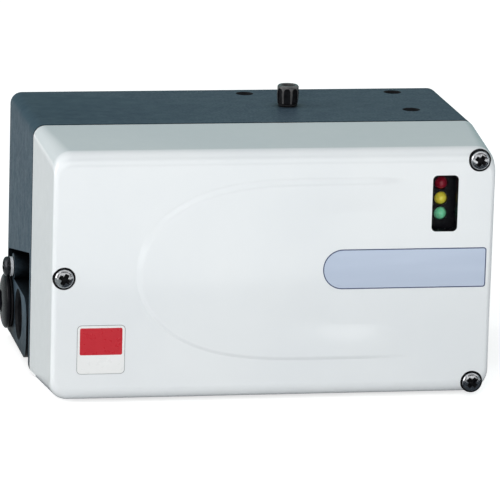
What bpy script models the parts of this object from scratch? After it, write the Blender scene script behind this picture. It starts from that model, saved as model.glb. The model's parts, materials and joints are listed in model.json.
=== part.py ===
"""Valve positioner: cast housing, lift-off cover, feedback shaft with gear train, electronics and air parts.

Metres, +Z up, the cover faces -Y. The origin is the centre of the housing's flat bottom.
"""

import math

import bmesh
import bpy
from mathutils import Matrix, Vector

MM = 0.001

# Fits between pieces
GAP = 0.3 * MM              # seating and running gap between neighbouring solids
OVERCUT = 1.0 * MM          # how far a cutter runs past the face that it opens
EDGE_BREAK = 0.5 * MM       # chamfer on small turned parts
BODY_EDGE = 0.8 * MM        # chamfer on round module bodies

# Housing casting
WIDTH = 190.0 * MM
HEIGHT = 109.0 * MM
HOUSING_DEPTH = 72.0 * MM
HOUSING_WALL = 4.0 * MM
REAR_WALL = 6.0 * MM
EDGE_RADIUS = 5.0 * MM
REAR_ROUNDING = 3.0 * MM    # radius between the sides and the rear face

# Cover casting
COVER_DEPTH = 50.0 * MM     # joint plane of the housing to the cover's front face
COVER_WALL = 3.0 * MM
COVER_DRAFT = 2.0 * MM      # inset of each side at the front face
COVER_ROUNDING = 6.0 * MM   # radius between the top or bottom and the front face
SIDE_ROUNDING = 2.0 * MM    # radius between the left or right side and the front face
COVER_CORNER = 8.0 * MM     # corner radius seen from the front
GASKET_THICKNESS = 1.2 * MM
GASKET_WIDTH = 3.0 * MM
GASKET_INSET = 0.4 * MM

# Raised form on the cover's front
RELIEF_HEIGHT = 0.5 * MM
RELIEF_APEX = 36.0 * MM     # from the left side
RELIEF_LENGTH = 79.0 * MM   # apex to the end of the curved part
RELIEF_TOP = 12.8 * MM      # from the top
RELIEF_BOTTOM = 17.4 * MM   # from the bottom
RELIEF_RUN_OUT = 26.0 * MM  # straight part in which it fades into the face
RELIEF_POWER = 2 / 3        # 1 gives an ellipse, less gives straighter arms

# Captive cover screws
SCREW_RADIUS = 2.0 * MM
SCREW_HEAD_RADIUS = 4.0 * MM
SCREW_HEAD_HEIGHT = 3.1 * MM
SCREW_SEAT_RADIUS = 4.8 * MM
SCREW_SEAT_DEPTH = 1.5 * MM
SCREW_GRIP = 14.0 * MM      # thread length inside the housing
SCREW_EDGE_X = 9.0 * MM     # right-hand screws from the right side
SCREW_EDGE_Z = 6.8 * MM     # right-hand screws from the top and the bottom
SCREW_LEFT_X = 6.8 * MM     # left screw from the left side
SCREW_TUBE_WALL = 2.4 * MM
SCREW_BOSS_WALL = 3.4 * MM
SCREW_BOSS_LENGTH = 26.0 * MM
RECESS_ARM = 2.4 * MM       # cross recess in a screw head
RECESS_WIDTH = 1.3 * MM
RECESS_DEPTH = 1.8 * MM
PAN_HEAD = [(0.45, 1.0), (0.80, 0.86), (0.97, 0.55), (1.0, 0.25)]   # shares of head radius and height
TIP_LENGTH = 0.3            # tip chamfer as a share of the thread radius
TIP_RADIUS = 0.7

# Pocket in the left side with the conduit entries
POCKET_DEPTH = 16.0 * MM
POCKET_FLANGE = 3.0 * MM
POCKET_REAR_WALL = 4.0 * MM
POCKET_ROOF_FRONT = 53.0 * MM
POCKET_ROOF_REAR = 40.0 * MM
CONDUIT_RADIUS = 10.0 * MM
CONDUIT_CHAMFER = 1.1 * MM
CONDUIT_Z = 18.5 * MM
CONDUIT_FRONT_Y = -2.0 * MM
CONDUIT_PITCH = 25.0 * MM
CONDUIT_BOSS_FRONT = 24.0 * MM   # front entry's axis to the boss's front edge
CONDUIT_BOSS_LOW = 3.5 * MM
CONDUIT_BOSS_HIGH = 30.5 * MM
CONDUIT_BOSS_CORNER = 9.0 * MM

# Blanking plug in the rear conduit entry
PLUG_FLANGE_RADIUS = 12.0 * MM
PLUG_FLANGE_THICKNESS = 3.0 * MM
PLUG_SHANK_LENGTH = 13.0 * MM
PLUG_WALL = 2.2 * MM
PLUG_SEAL_THICKNESS = 0.8 * MM
PLUG_SOCKET_RADIUS = 4.6 * MM
PLUG_SOCKET_DEPTH = 4.0 * MM
PLUG_DOME = [(0.80, 0.0), (0.94, 0.25), (1.0, 0.7)]     # shares of flange radius and thickness

# Outside ground screw
GROUND_Y = 16.0 * MM
GROUND_Z = 35.5 * MM
GROUND_PAD_RADIUS = 5.6 * MM
GROUND_SCREW_RADIUS = 2.0 * MM
GROUND_SCREW_LENGTH = 10.0 * MM
GROUND_HEAD_RADIUS = 4.3 * MM
GROUND_HEAD_HEIGHT = 2.8 * MM
GROUND_WASHER_THICKNESS = 1.2 * MM
GROUND_WASHER_RADIUS = 4.2 * MM

# Tapped holes for brackets
TAPPED_RADIUS = 3.25 * MM
TAPPED_DEPTH = 10.0 * MM
TAPPED_WALL = 3.0 * MM
TOP_HOLE_EDGE = 22.3 * MM       # right-hand holes from the right side
TOP_HOLE_REAR = 11.0 * MM       # rear holes from the rear face
TOP_HOLE_PITCH_X = 66.0 * MM
TOP_HOLE_PITCH_Y = 38.0 * MM
REAR_HOLE_SPREAD_X = 38.0 * MM  # rear holes either side of the shaft
REAR_HOLE_SPREAD_Z = 30.0 * MM

# Vent cap on the top
VENT_X = 20.5 * MM
VENT_Y = -2.0 * MM
VENT_SHANK_RADIUS = 2.8 * MM
VENT_RADIUS = 4.6 * MM
VENT_SWELL = 0.3 * MM           # the middle is this much wider than the ends
VENT_HEIGHT = 7.9 * MM
VENT_RIM = 0.5 * MM
VENT_FLUTES = 8
VENT_TURN = math.radians(-15.0)
VENT_FLUTE_WIDTH = 2.8 * MM
VENT_FLUTE_FLOOR = 4.1 * MM     # axis to the bottom of each flute
VENT_FLUTE_TOP = 1.1 * MM       # flutes end this far below the top
VENT_BORE_RADIUS = 3.0 * MM
VENT_BORE_DEPTH = 5.0 * MM
VENT_SEAL_THICKNESS = 0.7 * MM

# Feedback shaft through the rear wall
SHAFT_RADIUS = 4.0 * MM
SHAFT_INSIDE = 34.0 * MM        # rear face to the inner end
SHAFT_OUTSIDE = 20.0 * MM       # rear face to the outer end
SHAFT_COLLAR_RADIUS = 7.0 * MM
SHAFT_COLLAR_LENGTH = 2.6 * MM
SHAFT_FLAT = 3.1 * MM           # axis to each driving flat
SHAFT_GROOVE_RADIUS = 3.3 * MM
BUSH_WALL = 1.7 * MM
BUSH_FLANGE = 1.6 * MM
BUSH_FLANGE_THICKNESS = 1.1 * MM
BUSH_LENGTH = 7.5 * MM
SHAFT_BOSS_RADIUS = 12.0 * MM
SHAFT_BOSS_INSIDE = 22.0 * MM   # rear face to the boss's inner end
SHAFT_BOSS_OUTSIDE = 4.0 * MM   # spigot outside the rear face
SEAL_WALL = 4.7 * MM
SEAL_THICKNESS = 3.0 * MM
RING_WALL = 3.2 * MM
RING_THICKNESS = 1.0 * MM
RING_MOUTH = 5.0 * MM
NUT_FLATS = 10.0 * MM
NUT_THICKNESS = 4.5 * MM
LOCK_WASHER_RADIUS = 6.4 * MM
LOCK_WASHER_THICKNESS = 1.2 * MM

# Gear train from the shaft to the position sensor
GEAR_MODULE = 0.8 * MM
SECTOR_TEETH = 55               # as if the sector were a whole wheel
PINION_TEETH = 20
PRESSURE_ANGLE = math.radians(20.0)
ROOT_DEPTH = 1.25               # in modules below the pitch circle
BACKLASH = 0.28 * MM            # thinning of each tooth at the pitch circle
CENTRE_EASE = 0.15 * MM         # extra centre distance
SECTOR_HALF_ANGLE = math.radians(76.0)
GEAR_THICKNESS = 4.0 * MM
GEAR_HUB_RADIUS = 8.0 * MM
GEAR_HUB_LENGTH = 3.0 * MM
GEAR_WINDOW_RADIUS = 2.6 * MM
GEAR_WINDOW_PITCH = math.radians(29.0)
GEAR_END_MARGIN = 1.5 * MM      # shaft's inner end to the gear's face
PINION_EXTRA = 0.8 * MM         # pinion is this much wider on each side

# Position sensor on its bracket
SENSOR_RADIUS = 10.0 * MM
SENSOR_LENGTH = 11.0 * MM
SENSOR_LEADS_DROP = 3.0 * MM    # lead-out block below the round body
SENSOR_LEADS_WIDTH = 10.0 * MM
SENSOR_LEADS_DEPTH = 5.0 * MM
SENSOR_LEADS_BACK = 2.2 * MM
SENSOR_SHAFT_RADIUS = 3.0 * MM
BRACKET_THICKNESS = 1.5 * MM
BRACKET_WIDTH = 24.0 * MM
BRACKET_POST_PITCH = 40.0 * MM
BRACKET_MARGIN = 6.5 * MM
BRACKET_CLEARANCE = 2.5 * MM    # bracket to the gear train
SENSOR_BUSH_RADIUS = 4.6 * MM
POST_RADIUS = 3.5 * MM

# Main circuit board, an L in front of the gear train
BOARD_THICKNESS = 1.6 * MM
BOARD_SETBACK = 3.0 * MM        # joint plane to the board's front face
BOARD_LEFT = 24.0 * MM          # from the left side
BOARD_BREAK = 59.0 * MM         # right edge of the tall part, from the right side
BOARD_RIGHT = 16.0 * MM         # right edge of the arm, from the right side
BOARD_EDGE_Z = 9.0 * MM         # from the top and the bottom
BOARD_ARM_HEIGHT = 31.0 * MM
BOARD_CORNER = 2.0 * MM
BOARD_POST_INSET = 5.0 * MM
BOARD_LUG_THICKNESS = 4.0 * MM  # lug on the upper screw boss that carries the arm's end

# Shield over the tall part of the board
SHIELD_WALL = 1.8 * MM
SHIELD_HEIGHT = 12.0 * MM
SHIELD_INSET = 1.5 * MM
SHIELD_CORNER = 4.0 * MM
CUTOUT_MARGIN = 1.2 * MM

# Terminal block
TERMINAL_WAYS = 5
TERMINAL_PITCH = 7.5 * MM
TERMINAL_END = 1.5 * MM
TERMINAL_DEPTH = 14.0 * MM
TERMINAL_HEIGHT = 16.0 * MM
TERMINAL_STEP = 5.0 * MM
TERMINAL_ENTRY = 4.4 * MM
TERMINAL_ENTRY_DEPTH = 7.0 * MM
TERMINAL_SCREW_RADIUS = 2.2 * MM
TERMINAL_X = 36.0 * MM          # from the left side
TERMINAL_Z = 14.0 * MM

# Row of setting switches
DIP_WAYS = 6
DIP_PITCH = 2.54 * MM
DIP_END = 1.2 * MM
DIP_DEPTH = 9.0 * MM
DIP_HEIGHT = 6.0 * MM
DIP_SLOT_WIDTH = 1.5 * MM
DIP_SLOT_LENGTH = 4.2 * MM
DIP_SLOT_DEPTH = 2.2 * MM
DIP_TRAVEL = 1.6 * MM
DIP_KNOB_PROUD = 1.0 * MM
CONTROL_ROW_Z = 22.0 * MM       # from the top
DIP_EDGE = 22.0 * MM            # from the board's left edge

# Gain selector
SELECTOR_SIZE = 10.0 * MM
SELECTOR_HEIGHT = 6.5 * MM
SELECTOR_ROTOR_RADIUS = 3.6 * MM
SELECTOR_ROTOR_DEPTH = 3.0 * MM
SELECTOR_ROTOR_PROUD = 1.6 * MM
SELECTOR_SLOT = 1.0 * MM
SELECTOR_POINTER = 1.1 * MM     # half width of the pointer mark
SELECTOR_POINTER_LENGTH = 1.8 * MM

# Push buttons
BUTTON_EDGE = 14.0 * MM         # from the right edge of the board's tall part
BUTTON_PITCH = 15.0 * MM
BUTTON_BODY = 9.0 * MM
BUTTON_BODY_HEIGHT = 3.8 * MM
BUTTON_RADIUS = 3.2 * MM
BUTTON_TRAVEL = 0.5 * MM
BUTTON_PROUD = 1.4 * MM         # in front of the shield
BUTTON_PLUNGER_RADIUS = 1.7 * MM
BUTTON_PLUNGER_DEPTH = 1.6 * MM

# Status window in the cover and the lamps behind it
WINDOW_EDGE = 17.8 * MM         # window's right edge from the right side
WINDOW_WIDTH = 11.0 * MM
WINDOW_HEIGHT = 24.0 * MM
WINDOW_TOP = 13.0 * MM          # window's upper edge from the top
WINDOW_CORNER = 2.0 * MM
WINDOW_LEDGE = 1.5 * MM         # window pane overlaps the opening by this much
PANE_THICKNESS = 1.4 * MM
PANE_SETBACK = 4.0 * MM         # front face to the ledge that the pane rests on
COLLAR_WALL = 1.6 * MM
LAMP_RADIUS = 2.5 * MM
LAMP_RISE = 0.5 * MM            # middle lamp above the window's middle
LAMP_PITCH = 6.5 * MM
LAMP_LENGTH = 5.2 * MM
LAMP_RIM = 0.5 * MM
LAMP_RIM_THICKNESS = 0.9 * MM
LAMP_PROUD = 1.6 * MM           # dome in front of the holder
LAMP_TO_PANE = 0.6 * MM
HOLDER_WALL = 2.0 * MM
HOLDER_MARGIN = 1.8 * MM        # holder past the window opening on each side

# Air ports in the right side
PORT_RADIUS = 6.6 * MM
PORT_DEPTH = 14.0 * MM
PORT_BOSS_RADIUS = 10.5 * MM
PORT_BOSS_LENGTH = 18.0 * MM
PORT_PASSAGE_RADIUS = 3.0 * MM
PORT_Y = 8.0 * MM
PORT_PITCH = 26.0 * MM          # supply in the middle, an output above and below
SCREEN_THICKNESS = 1.0 * MM

# Air manifold and the modules on it
MANIFOLD_THICKNESS = 27.0 * MM
MANIFOLD_FRONT = 12.0 * MM      # port axis to the front face
MANIFOLD_REAR = 12.5 * MM       # port axis to the rear face
MANIFOLD_MARGIN = 10.0 * MM     # past the outer port axes
MANIFOLD_PASSAGE_DEPTH = 12.0 * MM
MANIFOLD_CHAMFER = 1.0 * MM
MODULE_SETBACK = 2.6 * MM       # modules behind the circuit board
DRIVER_MARGIN = 2.0 * MM
DRIVER_HEIGHT = 38.0 * MM
SPOOL_BORE_RADIUS = 4.2 * MM
SPOOL_LAND_RADIUS = 3.8 * MM
SPOOL_WAIST_RADIUS = 2.4 * MM
SPOOL_TRAVEL = 0.8 * MM
SPOOL_LANDS = 3
SPOOL_FLOOR = 3.0 * MM
CAP_THICKNESS = 3.5 * MM
CONVERTER_RADIUS = 10.5 * MM
CONVERTER_FLANGE = 12.0 * MM
CONVERTER_FLANGE_THICKNESS = 3.0 * MM
CONVERTER_NECK = 6.0 * MM
REGULATOR_RADIUS = 8.0 * MM
REGULATOR_LENGTH = 11.0 * MM
REGULATOR_NUT_RADIUS = 5.0 * MM
REGULATOR_NUT_LENGTH = 3.3 * MM
SENSOR_BOARD_THICKNESS = 1.4 * MM
PRESSURE_CAN_RADIUS = 4.0 * MM
PRESSURE_CAN_HEIGHT = 4.5 * MM

# Facets of round forms
FINE_SIDES = 24
MEDIUM_SIDES = 16
COARSE_SIDES = 10
FLANK_STEPS = 2
ROUNDING_STEPS = 3
SIDE_STEPS = 2
ARCH_STEPS = 3
RELIEF_STEPS = 20

# Places that follow from the sizes above
LEFT = -WIDTH / 2
RIGHT = WIDTH / 2
JOINT_Y = -HOUSING_DEPTH / 2
REAR_Y = HOUSING_DEPTH / 2
FRONT_Y = JOINT_Y - COVER_DEPTH
RIM_Y = JOINT_Y - GASKET_THICKNESS - 2 * GAP
INNER_REAR_Y = REAR_Y - REAR_WALL
SHAFT_X = 0.0
SHAFT_Z = HEIGHT / 2
SHAFT_END_Y = REAR_Y - SHAFT_INSIDE
GEAR_Y = SHAFT_END_Y + GEAR_END_MARGIN
SECTOR_PITCH_RADIUS = GEAR_MODULE * SECTOR_TEETH / 2
PINION_PITCH_RADIUS = GEAR_MODULE * PINION_TEETH / 2
SENSOR_X = SHAFT_X - SECTOR_PITCH_RADIUS - PINION_PITCH_RADIUS - CENTRE_EASE
BRACKET_Y = GEAR_Y - PINION_EXTRA - BRACKET_CLEARANCE
BOARD_FRONT_Y = JOINT_Y + BOARD_SETBACK
BOARD_REAR_Y = BOARD_FRONT_Y + BOARD_THICKNESS
BOARD_SEAT_Y = BOARD_FRONT_Y - GAP
SHIELD_FRONT_Y = BOARD_SEAT_Y - SHIELD_HEIGHT
CONTROL_Z = HEIGHT - CONTROL_ROW_Z
DIP_X = LEFT + BOARD_LEFT + DIP_EDGE
BUTTON_X = RIGHT - BOARD_BREAK - BUTTON_EDGE
SELECTOR_X = (DIP_X + BUTTON_X) / 2
WINDOW_X = RIGHT - WINDOW_EDGE - WINDOW_WIDTH / 2
WINDOW_Z = HEIGHT - WINDOW_TOP - WINDOW_HEIGHT / 2
PANE_Y = FRONT_Y + PANE_SETBACK + GAP
LAMP_X = WINDOW_X
LAMP_TIP_Y = PANE_Y + PANE_THICKNESS + LAMP_TO_PANE
HOLDER_Y = LAMP_TIP_Y + LAMP_PROUD
SUPPLY_Z = HEIGHT / 2
MANIFOLD_X = RIGHT - PORT_BOSS_LENGTH - GAP
MANIFOLD_LEFT = MANIFOLD_X - MANIFOLD_THICKNESS
MANIFOLD_FRONT_Y = PORT_Y - MANIFOLD_FRONT
MANIFOLD_LOW = SUPPLY_Z - PORT_PITCH - MANIFOLD_MARGIN
MANIFOLD_HIGH = SUPPLY_Z + PORT_PITCH + MANIFOLD_MARGIN
MODULE_FRONT_Y = BOARD_REAR_Y + MODULE_SETBACK
DRIVER_LOW = MANIFOLD_LOW + DRIVER_MARGIN
DRIVER_HIGH = DRIVER_LOW + DRIVER_HEIGHT
CONVERTER_Z = DRIVER_HIGH + CAP_THICKNESS + 2 * GAP + CONVERTER_FLANGE + DRIVER_MARGIN
MODULE_X = MANIFOLD_LEFT + MANIFOLD_THICKNESS / 2

COVER_SCREWS = {
    "cover_screw_upper": (RIGHT - SCREW_EDGE_X, HEIGHT - SCREW_EDGE_Z),
    "cover_screw_lower": (RIGHT - SCREW_EDGE_X, SCREW_EDGE_Z),
    "cover_screw_left": (LEFT + SCREW_LEFT_X, HEIGHT / 2),
}
TOP_HOLES = [
    (RIGHT - TOP_HOLE_EDGE, REAR_Y - TOP_HOLE_REAR),
    (RIGHT - TOP_HOLE_EDGE - TOP_HOLE_PITCH_X, REAR_Y - TOP_HOLE_REAR),
    (RIGHT - TOP_HOLE_EDGE, REAR_Y - TOP_HOLE_REAR - TOP_HOLE_PITCH_Y),
]
BOARD_POSTS = [
    (LEFT + BOARD_LEFT + BOARD_POST_INSET, HEIGHT - BOARD_EDGE_Z - BOARD_POST_INSET),
    (LEFT + BOARD_LEFT + 3 * BOARD_POST_INSET, BOARD_EDGE_Z + BOARD_POST_INSET),
    (RIGHT - BOARD_BREAK - BOARD_POST_INSET, HEIGHT - BOARD_EDGE_Z - BOARD_POST_INSET),
    (RIGHT - BOARD_BREAK - BOARD_POST_INSET, BOARD_EDGE_Z + BOARD_POST_INSET),
]
BOARD_LUG = (RIGHT - BOARD_RIGHT - BOARD_POST_INSET, HEIGHT - BOARD_EDGE_Z - BOARD_POST_INSET)
SHIELD_LOW = (LEFT + BOARD_LEFT + SHIELD_INSET, BOARD_EDGE_Z + SHIELD_INSET)
SHIELD_HIGH = (RIGHT - BOARD_BREAK - SHIELD_INSET, HEIGHT - BOARD_EDGE_Z - SHIELD_INSET)
BUTTONS = {
    "quick_cal": (BUTTON_X, CONTROL_Z),
    "jog_up": (BUTTON_X, CONTROL_Z - BUTTON_PITCH),
    "jog_down": (BUTTON_X, CONTROL_Z - 2 * BUTTON_PITCH),
}
LAMPS = {
    "lamp_red": WINDOW_Z + LAMP_RISE + LAMP_PITCH,
    "lamp_yellow": WINDOW_Z + LAMP_RISE,
    "lamp_green": WINDOW_Z + LAMP_RISE - LAMP_PITCH,
}
PORTS = {
    "output_1": SUPPLY_Z + PORT_PITCH,
    "supply": SUPPLY_Z,
    "output_2": SUPPLY_Z - PORT_PITCH,
}

# Finishes: colour, roughness, metallic
FINISHES = {
    "housing_paint": ((0.075, 0.105, 0.150), 0.45, 0.0),
    "cover_paint": ((0.86, 0.87, 0.88), 0.18, 0.0),
    "seal_rubber": ((0.012, 0.012, 0.013), 0.70, 0.0),
    "bright_steel": ((0.62, 0.62, 0.64), 0.22, 1.0),
    "dark_steel": ((0.045, 0.045, 0.050), 0.35, 1.0),
    "black_plastic": ((0.014, 0.014, 0.016), 0.42, 0.0),
    "window_pane": ((0.30, 0.31, 0.33), 0.05, 0.0),
    "red_lens": ((0.30, 0.006, 0.012), 0.20, 0.0),
    "yellow_lens": ((0.55, 0.55, 0.04), 0.20, 0.0),
    "green_lens": ((0.10, 0.52, 0.36), 0.20, 0.0),
    "bronze": ((0.48, 0.30, 0.13), 0.35, 1.0),
    "white_nylon": ((0.74, 0.73, 0.68), 0.48, 0.0),
    "circuit_board": ((0.012, 0.085, 0.040), 0.35, 0.0),
    "terminal_plastic": ((0.03, 0.22, 0.09), 0.45, 0.0),
    "switch_plastic": ((0.03, 0.07, 0.30), 0.45, 0.0),
    "machined_aluminium": ((0.66, 0.67, 0.68), 0.38, 1.0),
    "wire_mesh": ((0.50, 0.50, 0.50), 0.40, 1.0),
}


def clear_scene():
    """Remove whatever objects the file holds."""
    for old in list(bpy.data.objects):
        bpy.data.objects.remove(old, do_unlink=True)


def finish_material(name):
    """Return the named finish as a Principled material, made once."""
    found = bpy.data.materials.get(name)
    if found:
        return found
    colour, roughness, metallic = FINISHES[name]
    material = bpy.data.materials.new(name)
    material.use_nodes = True
    shader = material.node_tree.nodes["Principled BSDF"]
    shader.inputs["Base Color"].default_value = (*colour, 1.0)
    shader.inputs["Roughness"].default_value = roughness
    shader.inputs["Metallic"].default_value = metallic
    material.diffuse_color = (*colour, 1.0)
    return material


def to_object(name, bm):
    """Turn a bmesh into an object with its faces pointing out."""
    bmesh.ops.recalc_face_normals(bm, faces=bm.faces)
    mesh = bpy.data.meshes.new(name)
    bm.to_mesh(mesh)
    bm.free()
    made = bpy.data.objects.new(name, mesh)
    bpy.context.scene.collection.objects.link(made)
    return made


def along(axis, distance, u, v):
    """Point at a distance along an axis, with u and v on the other two axes in X, Y, Z order."""
    if axis == "X":
        return Vector((distance, u, v))
    if axis == "Y":
        return Vector((u, distance, v))
    return Vector((u, v, distance))


def block(low, high, name="block"):
    """Rectangular block between two corners."""
    outline = [(low[0], low[1]), (high[0], low[1]), (high[0], high[1]), (low[0], high[1])]
    return prism(outline, "Z", low[2], high[2], name)


def prism(outline, axis, start, end, name="prism"):
    """Closed outline extruded along an axis."""
    bm = bmesh.new()
    near = [bm.verts.new(along(axis, start, u, v)) for u, v in outline]
    far = [bm.verts.new(along(axis, end, u, v)) for u, v in outline]
    bm.faces.new(near)
    bm.faces.new(far)
    for i in range(len(outline)):
        j = (i + 1) % len(outline)
        bm.faces.new((near[i], near[j], far[j], far[i]))
    return to_object(name, bm)


def arc(centre, radius, start, end, steps):
    """Points on an arc, angles in radians, both ends included."""
    points = []
    for i in range(steps + 1):
        angle = start + (end - start) * i / steps
        points.append((centre[0] + radius * math.cos(angle), centre[1] + radius * math.sin(angle)))
    return points


def circle(centre, radius, sides):
    """Outline of a circle."""
    return arc(centre, radius, 0.0, 2 * math.pi * (1 - 1 / sides), sides - 1)


def rounded_rectangle(low, high, radius, steps=4):
    """Outline of a rectangle with round corners."""
    corners = [
        ((high[0] - radius, high[1] - radius), 0.0),
        ((low[0] + radius, high[1] - radius), math.pi / 2),
        ((low[0] + radius, low[1] + radius), math.pi),
        ((high[0] - radius, low[1] + radius), 1.5 * math.pi),
    ]
    points = []
    for centre, start in corners:
        points += arc(centre, radius, start, start + math.pi / 2, steps)
    return points


def rod(axis, centre, radius, start, end, sides=MEDIUM_SIDES, name="rod"):
    """Round bar along an axis."""
    return prism(circle(centre, radius, sides), axis, start, end, name)


def corner_radius(flats):
    """Radius to the corners of a hexagon given across its flats."""
    return flats / (2 * math.cos(math.pi / 6))


def hexagon(centre, flats):
    """Outline of a hexagon given across its flats."""
    return circle(centre, corner_radius(flats), 6)


def turned(profile, axis, centre, sides=MEDIUM_SIDES, name="turned"):
    """Turned piece: profile points are (radius, distance along the axis).

    A profile that starts and ends on the axis gives a solid piece, any other a ring.
    """
    bm = bmesh.new()
    rings = []
    for radius, distance in profile:
        if radius == 0.0:
            rings.append([bm.verts.new(along(axis, distance, centre[0], centre[1]))])
            continue
        points = circle(centre, radius, sides)
        rings.append([bm.verts.new(along(axis, distance, u, v)) for u, v in points])
    pairs = list(zip(rings, rings[1:]))
    if profile[0][0] != 0.0:
        pairs.append((rings[-1], rings[0]))
    for first, second in pairs:
        for i in range(sides):
            j = (i + 1) % sides
            if len(first) == 1:
                bm.faces.new((first[0], second[i], second[j]))
            elif len(second) == 1:
                bm.faces.new((first[i], first[j], second[0]))
            else:
                bm.faces.new((first[i], first[j], second[j], second[i]))
    return to_object(name, bm)


def ring(axis, centre, inner, outer, start, end, sides=MEDIUM_SIDES, name="ring"):
    """Flat ring or sleeve along an axis."""
    profile = [(inner, start), (outer, start), (outer, end), (inner, end)]
    return turned(profile, axis, centre, sides, name)


def lofted(outlines, axis, distances, name="lofted"):
    """Skin through outlines of equal point count, closed at both ends."""
    bm = bmesh.new()
    rings = []
    for outline, distance in zip(outlines, distances):
        rings.append([bm.verts.new(along(axis, distance, u, v)) for u, v in outline])
    for first, second in zip(rings, rings[1:]):
        for i in range(len(first)):
            j = (i + 1) % len(first)
            bm.faces.new((first[i], first[j], second[j], second[i]))
    bm.faces.new(rings[0])
    bm.faces.new(rings[-1])
    return to_object(name, bm)


def boolean(target, tools, operation):
    """Apply exact Booleans to the target and remove the tools."""
    for tool in tools:
        modifier = target.modifiers.new(operation.lower(), "BOOLEAN")
        modifier.operation = operation
        modifier.solver = "EXACT"
        modifier.object = tool
        bpy.context.view_layer.update()
        graph = bpy.context.evaluated_depsgraph_get()
        result = bpy.data.meshes.new_from_object(target.evaluated_get(graph))
        target.modifiers.clear()
        target.data = result
        bpy.data.objects.remove(tool, do_unlink=True)
    return target


def cut(target, *tools):
    return boolean(target, tools, "DIFFERENCE")


def join(target, *tools):
    return boolean(target, tools, "UNION")


def keep_inside(target, *tools):
    return boolean(target, tools, "INTERSECT")


def pivot(name, location):
    """Empty on a joint's axis."""
    made = bpy.data.objects.new(name, None)
    made.location = location
    made.empty_display_size = 0.01
    bpy.context.scene.collection.objects.link(made)
    return made


def finished(name, made, finish, parent=None, origin=(0.0, 0.0, 0.0)):
    """Name a piece, weld stray points, give it its finish, its origin and its parent."""
    made.name = name
    mesh = made.data
    mesh.name = name
    bm = bmesh.new()
    bm.from_mesh(mesh)
    bmesh.ops.remove_doubles(bm, verts=bm.verts, dist=0.002 * MM)
    bmesh.ops.dissolve_degenerate(bm, edges=bm.edges, dist=0.002 * MM)
    bm.to_mesh(mesh)
    bm.free()
    mesh.materials.clear()
    mesh.materials.append(finish_material(finish))
    mesh.shade_smooth()
    mesh.set_sharp_from_angle(angle=math.radians(32.0))
    place = Vector(parent.location) if parent else Vector(origin)
    mesh.transform(Matrix.Translation(-place))
    if parent:
        made.parent = parent
    else:
        made.location = place
    return made


def pocket_form(offset):
    """The hollow under the left side's slanting edge, grown by an offset."""
    front = JOINT_Y + POCKET_FLANGE - offset
    rear = REAR_Y - POCKET_REAR_WALL + offset
    outline = [
        (front, -OVERCUT),
        (rear, -OVERCUT),
        (rear, POCKET_ROOF_REAR + offset),
        (front, POCKET_ROOF_FRONT + offset),
    ]
    return prism(outline, "X", LEFT - OVERCUT, LEFT + POCKET_DEPTH + offset)


def housing_form():
    """Solid outside of the housing, with its rear edges rounded."""
    outlines = []
    distances = []

    def station(y, inset):
        low = (LEFT + inset, inset)
        high = (RIGHT - inset, HEIGHT - inset)
        outlines.append(rounded_rectangle(low, high, EDGE_RADIUS - inset))
        distances.append(y)

    station(JOINT_Y, 0.0)
    for i in range(ROUNDING_STEPS + 1):
        angle = math.pi / 2 * i / ROUNDING_STEPS
        y = REAR_Y - REAR_ROUNDING * (1 - math.sin(angle))
        station(y, REAR_ROUNDING * (1 - math.cos(angle)))
    return lofted(outlines, "Y", distances)


def conduit_boss():
    """Block in the pocket that carries both conduit entries and the ground pad."""
    inner = LEFT + POCKET_DEPTH + HOUSING_WALL / 2
    low = (CONDUIT_FRONT_Y - CONDUIT_BOSS_FRONT, CONDUIT_BOSS_LOW)
    high = (REAR_Y, CONDUIT_BOSS_HIGH)
    boss = prism(rounded_rectangle(low, high, CONDUIT_BOSS_CORNER), "X", LEFT, inner)
    keep_inside(boss, housing_form())
    return join(boss, rod("X", (GROUND_Y, GROUND_Z), GROUND_PAD_RADIUS, LEFT, inner))


def conduit_hole(y):
    """Conduit entry with a chamfered mouth."""
    mouth = CONDUIT_RADIUS + CONDUIT_CHAMFER + OVERCUT
    profile = [
        (0.0, LEFT - OVERCUT),
        (mouth, LEFT - OVERCUT),
        (CONDUIT_RADIUS, LEFT + CONDUIT_CHAMFER),
        (CONDUIT_RADIUS, LEFT + POCKET_DEPTH + HOUSING_WALL + OVERCUT),
        (0.0, LEFT + POCKET_DEPTH + HOUSING_WALL + OVERCUT),
    ]
    return turned(profile, "X", (y, CONDUIT_Z), FINE_SIDES)


def rear_tapped_places():
    """Places of the bracket holes in the rear face."""
    for side in (-1, 1):
        for level in (-1, 1):
            yield SHAFT_X + side * REAR_HOLE_SPREAD_X, SHAFT_Z + level * REAR_HOLE_SPREAD_Z


def bush_bore():
    return SHAFT_RADIUS + GAP + BUSH_WALL + GAP


def sensor_posts():
    """Places of the posts that carry the sensor bracket."""
    for level in (-1, 1):
        yield SENSOR_X, SHAFT_Z + level * BRACKET_POST_PITCH / 2


def housing():
    """Cast box, open to the front, with its bosses, pocket and ports."""
    body = housing_form()
    low = (LEFT + HOUSING_WALL, HOUSING_WALL)
    high = (RIGHT - HOUSING_WALL, HEIGHT - HOUSING_WALL)
    cavity = prism(rounded_rectangle(low, high, EDGE_RADIUS / 2, 3), "Y", JOINT_Y - OVERCUT, INNER_REAR_Y)
    cut(cavity, pocket_form(HOUSING_WALL))
    cut(body, cavity, pocket_form(0.0))
    join(body, conduit_boss())
    add_inner_bosses(body)
    drill_housing(body)
    return finished("housing", body, "housing_paint")


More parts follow.
